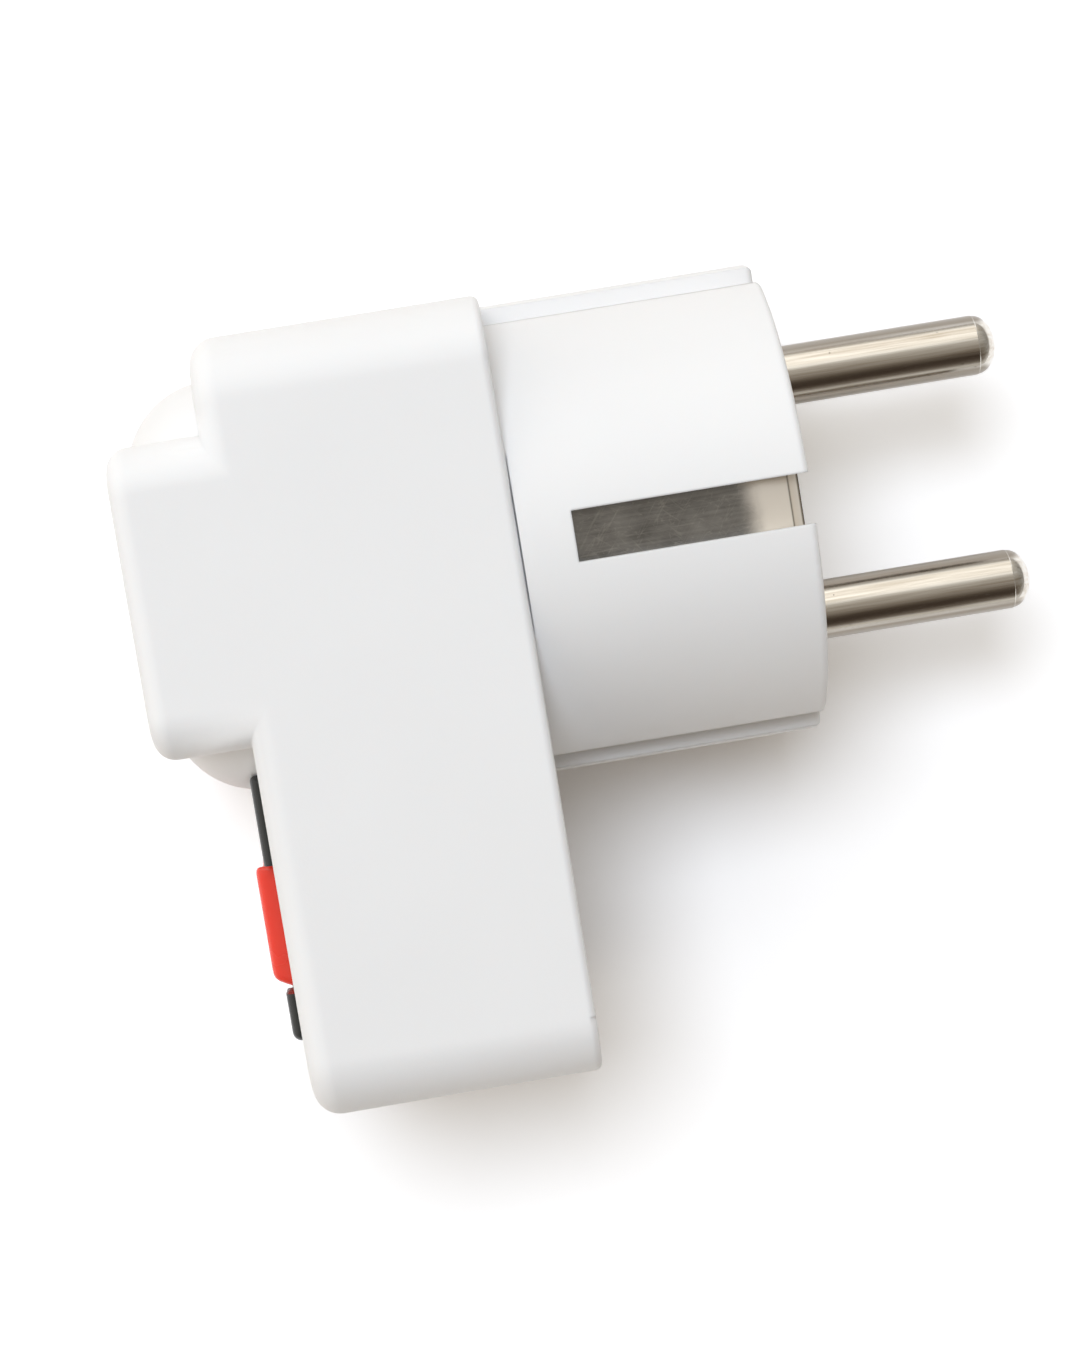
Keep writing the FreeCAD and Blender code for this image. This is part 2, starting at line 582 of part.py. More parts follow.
def switch_frame():
    outer = f"{FRONT} - bezel_thick"
    bezel = box("bezel", (outer, FRONT), (f"{PIVOT_Y} - bezel_below", f"{PIVOT_Y} + bezel_above"),
                from_mid("bezel_wide / 2"))
    face = value(outer)
    bezel = rounded("bezel_long", bezel, "bezel_round", lambda e: runs_along("x", e))
    bezel = rounded("bezel_edge", bezel, "bezel_round * 0.9", lambda e: lies_at(e, "x", face))
    bezel = cut("bezel_notched", bezel,
                rod("boss_notch", "boss_dia + 2 * boss_gap", "x", f"{outer} - 1", f"{FRONT} + 1", "0", MID))
    room_y = ("well_half", "well_half")
    case = box("switch_case", (FRONT, f"{FRONT} + frame_deep"),
               (f"{PIVOT_Y} - well_half - frame_wall", f"{PIVOT_Y} + well_half + frame_wall"),
               from_mid("well_wide / 2 + frame_wall"))
    solid = joined("frame_solid", bezel, case)
    floor = f"{FRONT} + frame_deep - frame_wall"
    room = box("rocker_room", (f"{outer} - 1", floor),
               (f"{PIVOT_Y} - {room_y[0]}", f"{PIVOT_Y} + {room_y[1]}"), from_mid("well_wide / 2"))
    scallop = box("scallop", (f"{outer} - 1", f"{outer} + scallop_deep"),
                  (f"{PIVOT_Y} - scallop_end", f"{PIVOT_Y} + raised_from + 0.2"), from_mid("bezel_wide"))
    axle = rod("stub_holes", "stub_dia + 2 * stub_play", "z", f"{MID} - bezel_wide", f"{MID} + bezel_wide",
               PIVOT_X, PIVOT_Y)
    tabs = [box(f"tab_slot_{word}", (f"{floor} - 1", f"{floor} + frame_wall + 1"),
                (f"{PIVOT_Y} + {at} - tab_thick / 2 - fit_gap", f"{PIVOT_Y} + {at} + tab_thick / 2 + fit_gap"),
                from_mid("tab_wide / 2 + fit_gap")) for word, at in (("common", "0"), ("output", "contact_out"))]
    return cut("switch_frame", solid, room, scallop, axle, *tabs)


def rocker():
    """outline across the pivot: outwards is -X, up the switch is +Y"""
    def at(u, v):
        return (f"{PIVOT_X} - ({u})", f"{PIVOT_Y} + ({v})")
    sweep = "end_sweep"
    low = "-skirt_drop"
    arc = [at(u, f"-sqrt({sweep}^2 - ({u})^2)") for u in (low, "raised_top * 0.3", "raised_top * 0.65")]
    outline = [at("raised_top", "raised_from"), at("raised_top", "-raised_to"), *arc[::-1],
               at(low, "sunk_reach"), at("sunk_end", "sunk_reach"), at("sunk_top", "raised_from")]
    half = "well_wide / 2 - rocker_gap"
    cap = profile("rocker_cap", "XY", outline, *from_mid(half))
    crisp = FreeCAD.Vector(*[value(f) for f in outline[0]], 0)
    blunt = FreeCAD.Vector(*[value(f) for f in outline[1]], 0)

    def passes(e, point):
        a = e.valueAt(e.FirstParameter)
        return runs_along("z", e) and abs(a.x - point.x) < 1e-4 and abs(a.y - point.y) < 1e-4
    eased(cap, "raised_crisp", lambda e: passes(e, crisp))
    eased(cap, "raised_round", lambda e: passes(e, blunt))
    sides = [value(z) for z in from_mid(half)]
    inside = value(f"{PIVOT_X} - sunk_top") + 1e-4
    eased(cap, "raised_edge", lambda e: e.BoundBox.XMax < inside and any(lies_at(e, "z", z) for z in sides))
    across = from_mid(f"{half} - rocker_shell")
    scoop = rod("scoop", "scoop_dia", "x", f"{PIVOT_X} - raised_top - 1", f"{PIVOT_X} - sunk_top",
                f"{PIVOT_Y} + raised_from - scoop_deep + scoop_dia / 2", MID)
    step = f"{PIVOT_Y} + raised_from - scoop_deep - rocker_shell"
    deep_room = box("raised_hollow", (f"{PIVOT_X} - raised_top + rocker_shell", f"{PIVOT_X} + skirt_drop + 1"),
                    (f"{PIVOT_Y} - raised_to + rocker_shell * 0.4", step), across)
    flat_room = box("sunk_hollow", (f"{PIVOT_X} - sunk_end + rocker_shell", f"{PIVOT_X} + skirt_drop + 1"),
                    (step, f"{PIVOT_Y} + sunk_reach - rocker_shell"), across)
    stubs = rod("stubs", "stub_dia", "z", f"{MID} - ({half} + frame_wall)", f"{MID} + ({half} + frame_wall)",
                PIVOT_X, PIVOT_Y)
    tilt = value("half_throw")
    aim = FreeCAD.Rotation(FreeCAD.Vector(0, 0, 1), -tilt)
    roof = "rocker_shell * 0.7 - raised_top"
    stem = turned("stem", [(roof, "0"), ("stem_long", "0"), ("stem_long", "stem_dia / 2"),
                           (roof, "stem_dia / 2")], PIVOT_X, PIVOT_Y, MID, aim)
    bore_r = "plunger_dia / 2 + plunger_play"
    bore = turned("stem_bore", [("spring_room", "0"), ("stem_long + 1", "0"), ("stem_long + 1", bore_r),
                                ("spring_room", bore_r)], PIVOT_X, PIVOT_Y, MID, aim)
    solid = joined("rocker_solid", cut("rocker_shelled", cap, scoop, deep_room, flat_room), stubs, stem)
    return cut("rocker", solid, bore)


def plunger():
    ball = "plunger_dia / 2"
    aim = FreeCAD.Rotation(FreeCAD.Vector(0, 0, 1), -value("half_throw"))
    tip = f"plunger_ball + {ball}"
    body = turned("plunger", [("plunger_head", "0"), (tip, "0"), (tip, ball), ("plunger_head", ball)],
                  PIVOT_X, PIVOT_Y, MID, aim)
    end = value(tip)
    return eased(body, f"{ball} * 0.98", lambda e: lies_at(e, "x", end))


def plunger_spring():
    """close coil between the bore's end and the plunger's head"""
    aim = FreeCAD.Rotation(FreeCAD.Vector(0, 0, 1), -value("half_throw"))
    inner = "plunger_dia / 2 - spring_wire - 0.05"
    return turned("plunger_spring", [("spring_room", inner), ("plunger_head - 0.35", inner),
                                     ("plunger_head - 0.35", "plunger_dia / 2 - 0.05"),
                                     ("spring_room", "plunger_dia / 2 - 0.05")],
                  PIVOT_X, PIVOT_Y, MID, aim)


# top face of the lever at its middle, so that the plunger's tip clears it at both ends of the throw
LEVER_TOP = (f"({PIVOT_X} + plunger_ball * cos(half_throw) - plunger_ball * sin(half_throw) * tan(lever_throw)"
             " + (plunger_dia / 2 + plunger_clear) / cos(lever_throw))")
LEVER_X = f"({LEVER_TOP} + lever_thick / cos(lever_throw))"


def contact_lever():
    aim = FreeCAD.Rotation(FreeCAD.Vector(0, 0, 1), value("lever_throw"))
    t, half, wide = "lever_thick", "lever_half", "lever_wide / 2"
    strip = profile("lever_strip", "XY", [(f"-{t}", f"-{half}"), ("0", f"-{half}"), ("0", half), (f"-{t}", half)],
                    f"-{wide}", wide)
    eased(strip, "contact_dia / 2", lambda e: runs_along("x", e))
    button = rod("moving_contact", "contact_dia", "x", "0", "contact_thick", "contact_out", "0")
    ears = [box(f"lever_ear_{word}", (f"-3 * {t}", "0"), ("-2 * lever_thick", "2 * lever_thick"), span)
            for word, span in (("low", (f"-{wide}", f"{t} - {wide}")), ("high", (f"{wide} - {t}", wide)))]
    return place(joined("contact_lever", strip, button, *ears), LEVER_X, PIVOT_Y, MID, aim)


def common_terminal():
    top = f"{LEVER_X} + cradle_clear"
    tab = box("common_tab", (top, f"{BUS_HIGH} - bus_thick"), (f"{PIVOT_Y} - tab_thick / 2", f"{PIVOT_Y} + tab_thick / 2"),
              from_mid("tab_wide / 2"))
    edge = value(top)
    return rounded("common_terminal", tab, "tab_thick * 0.45",
                   lambda e: runs_along("z", e) and lies_at(e, "x", edge))


def output_terminal():
    floor = f"{FRONT} + frame_deep - frame_wall"
    at = f"({PIVOT_Y} + contact_out)"
    pad = box("output_pad", (f"{floor} - tab_thick", floor), (f"{at} - contact_pad / 2", f"{at} + contact_pad / 2"),
              from_mid("tab_wide / 2"))
    tab = box("output_tab", (f"{floor} - tab_thick", f"{BUS_LOW}"),
              (f"{at} - tab_thick / 2", f"{at} + tab_thick / 2"), from_mid("tab_wide / 2"))
    top = (f"{LEVER_X} + (contact_out + contact_dia / 2) * sin(lever_throw)"
           " + contact_thick * cos(lever_throw) + contact_clear")
    button = rod("fixed_contact", "contact_dia", "x", top, f"{floor} - tab_thick", at, MID)
    return joined("output_terminal", pad, tab, button)


CLIP_HALF = "(clip_gap / 2 + clip_thick)"
CLIP_FLOOR = f"({TRAY_BACK} - tray_floor)"
LINE_Z = f"({MID} + round_gap / 2)"
NEUTRAL_Z = f"({MID} - round_gap / 2)"
RIVETS = ((LIVE_Y, LINE_Z), (LIVE_Y, NEUTRAL_Z), (EARTH_Y, MID))


def contact_carrier():
    depth = (TRAY_FRONT, TRAY_BACK)
    parts = [box("tray_wide", depth, ("-tray_below", "tray_mid"), from_mid("tray_half")),
             box("tray_tower", depth, ("-tray_below", "tray_above"), from_mid("tower_half"))]
    ear_r = "ear_dia / 2"
    for i, (y, z) in enumerate(EARS):
        span = (f"{TRAY_BACK} - ear_thick", TRAY_BACK)
        parts.append(box(f"ear_{i}", span, (y, "-tray_below + 1"), (f"{z} - {ear_r}", f"{z} + {ear_r}")))
        parts.append(rod(f"ear_end_{i}", "ear_dia", "x", *span, y, z))
    pockets = []
    hold = (f"{TRAY_FRONT} - 1", f"{TRAY_BACK} - tray_floor")
    tall = "clip_wide / 2 + 2 * fit_gap"
    slack = f"({CLIP_HALF} + clip_flare)"
    for sign, word in SIDES:
        mid = f"{MID} + {sign} * round_gap / 2"
        outer = f"{mid} + {sign} * {slack}"
        inner = f"{MID} + {sign} * (blade_gap / 2 - blade_slot / 2)"
        span = (inner, outer) if sign > 0 else (outer, inner)
        pockets.append(box(f"pocket_{word}", hold, (f"{LIVE_Y} - blade_tall / 2", f"{LIVE_Y} + blade_tall / 2"), span))
    pockets.append(box("pocket_earth", hold, (f"{EARTH_Y} - ({tall})", f"{EARTH_Y} + ({tall})"), from_mid(slack)))
    for i, (y, z) in enumerate(RIVETS):
        pockets.append(rod(f"rivet_hole_{i}", "rivet_dia", "x", f"{TRAY_BACK} - 2 * tray_floor",
                           f"{TRAY_BACK} + 1", y, z))
    for i, (y, z) in enumerate(EARS):
        pockets.append(rod(f"ear_hole_{i}", "small_screw + 2 * fit_gap", "x", f"{TRAY_BACK} - ear_thick - 1",
                           f"{TRAY_BACK} + 1", y, z))
    return cut("contact_carrier", joined("tray_solid", *parts), *pockets)


def clip(name, y, z):
    """folded spring clip: a base, two leaves pinched in the middle and flared at the mouth"""
    t, g = "clip_thick", "clip_gap / 2"
    base, mouth = CLIP_FLOOR, f"({CLIP_FLOOR} - clip_long)"
    pinch = f"({mouth} + 2.2)"
    right = [(base, f"{g} + {t}"), (pinch, f"{g} + {t} - 0.15"), (mouth, f"{g} + {t} + clip_flare - 0.3")]
    left = [(mouth, f"{g} + clip_flare - 0.3"), (pinch, f"{g} - 0.15"), (f"{base} - {t}", g)]
    upper = [(x, f"{z} + {w}") for x, w in right + left]
    lower = [(x, f"{z} - ({w})") for x, w in (right + left)[::-1]]
    body = profile(name + "_leaves", "XZ", upper + lower, f"{y} - clip_wide / 2", f"{y} + clip_wide / 2")
    return cut(name, body, rod(name + "_hole", "rivet_dia", "x", f"{base} - {t} - 1", f"{base} + 1", y, z))


def contact_rivets():
    """one rivet through each clip, the carrier's floor and the strip behind it"""
    rivets = []
    for i, (y, z) in enumerate(RIVETS):
        head = rod(f"rivet_head_{i}", "1.7 * rivet_dia", "x", f"{CLIP_FLOOR} - clip_thick - 0.6",
                   f"{CLIP_FLOOR} - clip_thick", y, z)
        shank = rod(f"rivet_shank_{i}", "rivet_dia - fit_gap", "x", f"{CLIP_FLOOR} - clip_thick - 0.3",
                    f"{TRAY_BACK} + bus_thick + 0.3", y, z)
        foot = rod(f"rivet_foot_{i}", "1.5 * rivet_dia", "x", f"{TRAY_BACK} + bus_thick",
                   f"{TRAY_BACK} + bus_thick + 0.5", y, z)
        rivets.append(joined(f"rivet_{i}", head, shank, foot))
    group = doc.addObject("Part::Compound", "contact_rivets")
    group.Links = rivets
    return group


W = "bus_wide / 2"
ON_TRAY = (TRAY_BACK, f"{TRAY_BACK} + bus_thick")


def switched_bus():
    """from the switch's output round to the line clip"""
    fold = "-tray_below - 1.6"
    low_x = (f"{BUS_LOW} - bus_thick", BUS_LOW)
    zs = (f"{LINE_Z} - {W}", f"{LINE_Z} + {W}")
    at = f"({PIVOT_Y} + contact_out)"
    lane = (f"{MID} + tab_wide / 2 + 0.8", f"{MID} + tab_wide / 2 + 0.8 + bus_wide")
    parts = [box("switched_foot", ON_TRAY, (fold, f"{LIVE_Y} + {W}"), zs),
             box("switched_riser", (TRAY_BACK, BUS_LOW), (fold, f"{fold} + bus_thick"), zs),
             box("switched_cross", low_x, (f"{fold} + bus_thick - bus_wide", f"{fold} + bus_thick"),
                 (lane[0], zs[1])),
             box("switched_run", low_x, (f"{at} - {W}", f"{fold} + bus_thick"), lane),
             box("switched_end", low_x, (f"{at} - {W}", f"{at} + {W}"), (f"{MID} + tab_wide / 2", lane[1]))]
    solid = joined("switched_solid", *parts)
    return cut("switched_bus", solid, rod("switched_hole", "rivet_dia", "x", f"{TRAY_BACK} - 1",
                                          f"{TRAY_BACK} + bus_thick + 1", LIVE_Y, LINE_Z))


def line_bus():
    """from the switch's common terminal to the line pin"""
    strip = box("line_strip", (f"{BUS_HIGH} - bus_thick", BUS_HIGH),
                (f"{PIVOT_Y} - {W}", f"{W} - pin_gap / 2"), from_mid(W))
    return cut("line_bus", strip, rod("line_pin_hole", "tail_dia + fit_gap", "x", f"{BUS_HIGH} - bus_thick - 1",
                                      f"{BUS_HIGH} + 1", "-pin_gap / 2", MID))


def neutral_bus():
    """from the neutral pin round to the neutral clip"""
    high_x = (f"{BUS_HIGH} - bus_thick", BUS_HIGH)
    zs = (f"{NEUTRAL_Z} - {W}", f"{NEUTRAL_Z} + {W}")
    pin_y = "pin_gap / 2"
    fold = "(-tray_below)"
    parts = [box("neutral_foot", ON_TRAY, (fold, f"{LIVE_Y} + {W}"), zs),
             box("neutral_riser", (TRAY_BACK, BUS_HIGH), (fold, f"{fold} + bus_thick"), zs),
             box("neutral_run", high_x, (fold, f"{pin_y} + {W}"), zs),
             box("neutral_cross", high_x, (f"{pin_y} - {W}", f"{pin_y} + {W}"), (zs[0], f"{MID} + {W}"))]
    solid = joined("neutral_solid", *parts)
    return cut("neutral_bus", solid,
               rod("neutral_rivet_hole", "rivet_dia", "x", f"{TRAY_BACK} - 1", f"{TRAY_BACK} + bus_thick + 1",
                   LIVE_Y, NEUTRAL_Z),
               rod("neutral_pin_hole", "tail_dia + fit_gap", "x", f"{BUS_HIGH} - bus_thick - 1", f"{BUS_HIGH} + 1", pin_y, MID))


def earth_bus():
    """from the earth clip up to the bridge of the earth strip"""
    fold = "strip_wide / 2 - 0.4 - bus_thick"
    parts = [box("earth_foot", ON_TRAY, (fold, f"{EARTH_Y} + {W}"), from_mid(W)),
             box("earth_riser", (TRAY_BACK, f"{BACK} + bridge_start"), (fold, f"{fold} + bus_thick"), from_mid(W))]
    solid = joined("earth_solid", *parts)
    return cut("earth_bus", solid, rod("earth_rivet_hole", "rivet_dia", "x", f"{TRAY_BACK} - 1",
                                       f"{TRAY_BACK} + bus_thick + 1", EARTH_Y, MID))


def screws(name, places, seat, head_dia, head_thick, dia, length):
    """pan-head screws with a round drive, all facing the cover side"""
    made = []
    for i, (y, z) in enumerate(places):
        top = f"{seat} + {head_thick}"
        head = rod(f"{name}_head_{i}", head_dia, "x", seat, top, y, z)
        crown = value(top)
        dome = rounded(f"{name}_dome_{i}", head, f"{head_thick} * 0.4", lambda e: lies_at(e, "x", crown))
        shank = rod(f"{name}_shank_{i}", dia, "x", f"{seat} - ({length})", f"{seat} + {head_thick} / 4", y, z)
        drive = rod(f"{name}_drive_{i}", f"({head_dia}) * 0.45", "x", f"{seat} + {head_thick} / 2", f"{top} + 1", y, z)
        made.append(cut(f"{name}_{i}", joined(f"{name}_solid_{i}", dome, shank), drive))
    group = doc.addObject("Part::Compound", name)
    group.Links = made
    return group


node("front_housing", front_housing())
node("socket_face", socket_face())
node("plug_body", plug_body())
node("pin_carrier", pin_carrier())
node("line_pin", pin("line_pin", -1))
node("neutral_pin", pin("neutral_pin", 1))
node("earth_strip", earth_strip())
node("switch_frame", switch_frame())
node("rocker", rocker())
node("plunger", plunger())
node("plunger_spring", plunger_spring())
node("contact_lever", contact_lever())
node("common_terminal", common_terminal())
node("output_terminal", output_terminal())
node("contact_carrier", contact_carrier())
node("line_contact", clip("line_contact", LIVE_Y, LINE_Z))
node("neutral_contact", clip("neutral_contact", LIVE_Y, NEUTRAL_Z))
node("earth_contact", clip("earth_contact", EARTH_Y, MID))
node("contact_rivets", contact_rivets())
node("line_bus", line_bus())
node("switched_bus", switched_bus())
node("neutral_bus", neutral_bus())
node("earth_bus", earth_bus())
node("cover_screws", screws("cover_screws", SCREWS, f"({COVER_IN} - well_deep + well_wall)",
                            "head_dia", "head_thick", "screw_dia - fit_gap", "screw_long - 0.5"))
node("carrier_screws", screws("carrier_screws", EARS, TRAY_BACK,
                              "ear_dia - 2 * fit_gap", "head_thick * 0.8", "small_screw - fit_gap", "small_long"))

doc.recompute()
faults = [f"{obj.Label}: {obj.State}" for obj in doc.Objects
          if {"Invalid", "Error"} & set(obj.State)]
for name, obj in nodes.items():
    shape = obj.Shape
    if shape.isNull() or not shape.isValid() or not shape.Solids:
        faults.append(name + ": no valid solid")
if faults:
    raise SystemExit("\n".join(faults))

os.makedirs("parts", exist_ok=True)
for name, obj in nodes.items():
    obj.Shape.exportStep(f"parts/{name}.step")
    extent = obj.Shape.BoundBox
    print(f"{name}: {len(obj.Shape.Solids)} solid(s), {obj.Shape.Volume:.1f} mm3, "
          f"x {extent.XMin:.2f} {extent.XMax:.2f}, y {extent.YMin:.2f} {extent.YMax:.2f}, "
          f"z {extent.ZMin:.2f} {extent.ZMax:.2f}")
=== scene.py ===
import bpy
import bmesh
import json
import math
from mathutils import Matrix, Vector


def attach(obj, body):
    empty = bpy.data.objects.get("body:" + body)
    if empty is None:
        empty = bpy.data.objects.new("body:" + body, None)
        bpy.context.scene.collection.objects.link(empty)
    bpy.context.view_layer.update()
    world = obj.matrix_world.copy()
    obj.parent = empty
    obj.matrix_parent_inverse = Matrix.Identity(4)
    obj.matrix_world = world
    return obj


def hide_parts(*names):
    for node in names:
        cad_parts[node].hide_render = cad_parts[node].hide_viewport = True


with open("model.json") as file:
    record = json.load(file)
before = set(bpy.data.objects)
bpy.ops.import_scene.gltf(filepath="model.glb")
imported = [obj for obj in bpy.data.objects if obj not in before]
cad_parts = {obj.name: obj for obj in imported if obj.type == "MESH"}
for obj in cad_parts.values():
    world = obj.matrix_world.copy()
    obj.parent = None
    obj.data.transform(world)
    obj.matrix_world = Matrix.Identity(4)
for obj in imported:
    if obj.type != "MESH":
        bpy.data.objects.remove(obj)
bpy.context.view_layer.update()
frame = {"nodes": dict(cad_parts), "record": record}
nodes = frame["nodes"]
mm = 0.001
print("frame loaded:", len(nodes), "nodes")

view = {
    "eye": (4.61, 4.93, 229.0),         # mm, straight above the resting adapter
    "aim": (0.0325, -0.0758, -1.0),     # a little down the housing
    "roll": 9.41,                       # degrees, the pins rise to the right
    "focal": 70.0,                      # mm
    "sensor": 36.0,                     # mm
    "clip": (0.01, 10.0),               # m
}


def addCamera():
    # returns the picture's right and up directions, which the lights are placed by
    forward = Vector(view["aim"]).normalized()
    turn = math.radians(view["roll"])
    right = Vector((math.cos(turn), -math.sin(turn), 0))
    right = (right - right.dot(forward) * forward).normalized()
    up = right.cross(forward)
    data = bpy.data.cameras.new("camera")
    data.lens = view["focal"]
    data.sensor_width = view["sensor"]
    data.clip_start, data.clip_end = view["clip"]
    camera = bpy.data.objects.new("camera", data)
    spin = Matrix((right, up, -forward)).transposed().to_4x4()
    camera.matrix_world = Matrix.Translation(Vector(view["eye"]) * mm) @ spin
    bpy.context.scene.collection.objects.link(camera)
    bpy.context.scene.camera = camera
    return right, up


imageRight, imageUp = addCamera()
print("camera set")


def linear(hexColour):
    # sRGB hex to linear rgba
    parts = [int(hexColour[i:i + 2], 16) / 255 for i in (1, 3, 5)]
    return tuple(p / 12.92 if p <= 0.04045 else ((p + 0.055) / 1.055) ** 2.4 for p in parts) + (1.0,)


def addNode(tree, kind, settings=None, links=None):
    # a key that numbers or names an input sets it, "ramp" fills a colour ramp, other keys are properties
    made = tree.nodes.new(kind)
    for key, setting in (settings or {}).items():
        if key == "ramp":
            while len(made.color_ramp.elements) < len(setting):
                made.color_ramp.elements.new(1.0)
            for element, (place, hexColour) in zip(made.color_ramp.elements, setting):
                element.position = place
                element.color = linear(hexColour)
        elif isinstance(key, int) or key in made.inputs:
            made.inputs[key].default_value = setting
        else:
            setattr(made, key, setting)
    for key, source in (links or {}).items():
        tree.links.new(source, made.inputs[key])
    return made


def newMaterial(name):
    material = bpy.data.materials.new(name)
    material.use_nodes = True
    material.node_tree.nodes.clear()
    return material, material.node_tree


def finishMaterial(material, shader):
    addNode(material.node_tree, "ShaderNodeOutputMaterial", links={"Surface": shader.outputs[0]})
    return material


studio = {
    "floorHalf": 1.6,                    # m
    "floorBelow": 0.05,                  # mm under the resting face
    "floorSeen": "#FFFFFF",              # paper as the camera and reflections see it
    "floorLift": "#8D8F96",              # a second coat that only they see, keeps the open paper white
    "floorBounce": "#CFC4B6",            # paper as light bounces off it, warm
    "keyPower": 2.84,                    # W
    "keySize": 0.32,                     # m
    "keyColour": "#EFF6FF",
    "keyFrom": (-0.17, 0.27, 1.0),       # picture right, picture up, height
    "keyDistance": 0.75,                 # m
    "roomTint": "#FFFAF1",
    "wallLevel": 0.72,                   # at the horizon
    "wallUp": -0.12,                     # more towards picture up
    "wallLeft": 0.40,                    # more towards picture left
    "windowLevel": 0.69,                 # a tall window beyond the top of the picture
    "windowSide": (0.14, 0.38),          # sine of half its width, where it starts to fade and has faded
    "windowTop": (0.15, 0.55),           # sine of the angle from overhead, where it starts and is full
    "lowest": (0.14, 0.30),              # sine of the height where window and stand start and are full
    "standFrom": (0.17, -0.766, 0.643),  # dark camera stand: picture right, picture up, height
    # what is left of the light, at shares of 90 degrees from the middle of that dark shape
    "stand": [(0.0, "#40362E"), (0.13, "#4B4038"), (0.22, "#716860"), (0.33, "#9A928A"),
              (0.47, "#BCB6AF"), (0.58, "#CFCBC5"), (0.69, "#E1DEDA"), (0.83, "#FFFFFF")],
}


def floorMaterial():
    # plain matt paper: pure white where nothing shades it, soft grey in the shadows
    material, tree = newMaterial("mattPaper")
    path = addNode(tree, "ShaderNodeLightPath")
    seen = addNode(tree, "ShaderNodeMath", {"operation": "MAXIMUM"},
                   {0: path.outputs["Is Camera Ray"], 1: path.outputs["Is Glossy Ray"]})
    seen = addNode(tree, "ShaderNodeMath", {"operation": "MAXIMUM"},
                   {0: seen.outputs[0], 1: path.outputs["Is Transmission Ray"]})
    colour = addNode(tree, "ShaderNodeMix",
                     {"data_type": "RGBA", 6: linear(studio["floorBounce"]), 7: linear(studio["floorSeen"])},
                     {0: seen.outputs[0]})
    lift = addNode(tree, "ShaderNodeMix",
                   {"data_type": "RGBA", 6: (0, 0, 0, 1), 7: linear(studio["floorLift"])},
                   {0: seen.outputs[0]})
    matt = addNode(tree, "ShaderNodeBsdfDiffuse", links={"Color": colour.outputs[2]})
    coat = addNode(tree, "ShaderNodeBsdfDiffuse", links={"Color": lift.outputs[2]})
    shader = addNode(tree, "ShaderNodeAddShader", links={0: matt.outputs[0], 1: coat.outputs[0]})
    return finishMaterial(material, shader)


def inPicture(side, rise, height=0.0):
    # a direction from its parts along picture right, picture up and straight up
    return side * imageRight + rise * imageUp + height * Vector((0, 0, 1))


def addRoom():
    # pale walls all round, one tall window, and the dark shape of the camera stand
    world = bpy.data.worlds.new("windowRoom")
    bpy.context.scene.world = world
    world.use_nodes = True
    tree = world.node_tree
    tree.nodes.clear()
    ray = addNode(tree, "ShaderNodeTexCoord").outputs["Generated"]
    directions = {
        "tilt": inPicture(-studio["wallLeft"], studio["wallUp"]),
        "height": inPicture(0, 0, 1),
        "side": inPicture(1, 0),
        "rise": inPicture(0, 1),
        "stand": inPicture(*studio["standFrom"]).normalized(),
    }
    along = {}
    for name, direction in directions.items():
        dot = addNode(tree, "ShaderNodeVectorMath",
                      {"operation": "DOT_PRODUCT", 1: tuple(direction)}, {0: ray})
        along[name] = dot.outputs["Value"]
    aside = addNode(tree, "ShaderNodeMath", {"operation": "ABSOLUTE"}, {0: along["side"]})
    fades = {
        "above": (along["height"], studio["lowest"], (0.0, 1.0)),
        "across": (aside.outputs[0], studio["windowSide"], (1.0, 0.0)),
        "up": (along["rise"], studio["windowTop"], (0.0, studio["windowLevel"])),
    }
    faded = {}
    for name, (value, (start, end), (low, high)) in fades.items():
        fade = addNode(tree, "ShaderNodeMapRange",
                       {"interpolation_type": "SMOOTHSTEP", "From Min": start, "From Max": end,
                        "To Min": low, "To Max": high}, {"Value": value})
        faded[name] = fade.outputs[0]
    walls = addNode(tree, "ShaderNodeMath", {"operation": "ADD", 1: studio["wallLevel"]}, {0: along["tilt"]})
    window = addNode(tree, "ShaderNodeMath", {"operation": "MULTIPLY"}, {0: faded["across"], 1: faded["up"]})
    window = addNode(tree, "ShaderNodeMath", {"operation": "MULTIPLY"},
                     {0: window.outputs[0], 1: faded["above"]})
    apart = addNode(tree, "ShaderNodeMath", {"operation": "ARCCOSINE"}, {0: along["stand"]})
    quarter = addNode(tree, "ShaderNodeMath", {"operation": "DIVIDE", 1: math.pi / 2}, {0: apart.outputs[0]})
    stand = addNode(tree, "ShaderNodeValToRGB", {"ramp": studio["stand"]}, {"Fac": quarter.outputs[0]})
    stand = addNode(tree, "ShaderNodeMix", {"data_type": "RGBA", 6: (1, 1, 1, 1)},
                    {0: faded["above"], 7: stand.outputs[0]})
    lit = addNode(tree, "ShaderNodeVectorMath", {"operation": "SCALE"},
                  {0: stand.outputs[2], "Scale": walls.outputs[0]})
    glow = addNode(tree, "ShaderNodeVectorMath", {"operation": "ADD"},
                   {0: lit.outputs[0], 1: window.outputs[0]})
    tinted = addNode(tree, "ShaderNodeVectorMath",
                     {"operation": "MULTIPLY", 1: linear(studio["roomTint"])[:3]}, {0: glow.outputs[0]})
    room = addNode(tree, "ShaderNodeBackground", {"Strength": 1.0}, {"Color": tinted.outputs[0]})
    plain = addNode(tree, "ShaderNodeBackground", {"Color": (1, 1, 1, 1), "Strength": 1.0})
    path = addNode(tree, "ShaderNodeLightPath")
    both = addNode(tree, "ShaderNodeMixShader",
                   links={0: path.outputs["Is Camera Ray"], 1: room.outputs[0], 2: plain.outputs[0]})
    addNode(tree, "ShaderNodeOutputWorld", links={"Surface": both.outputs[0]})


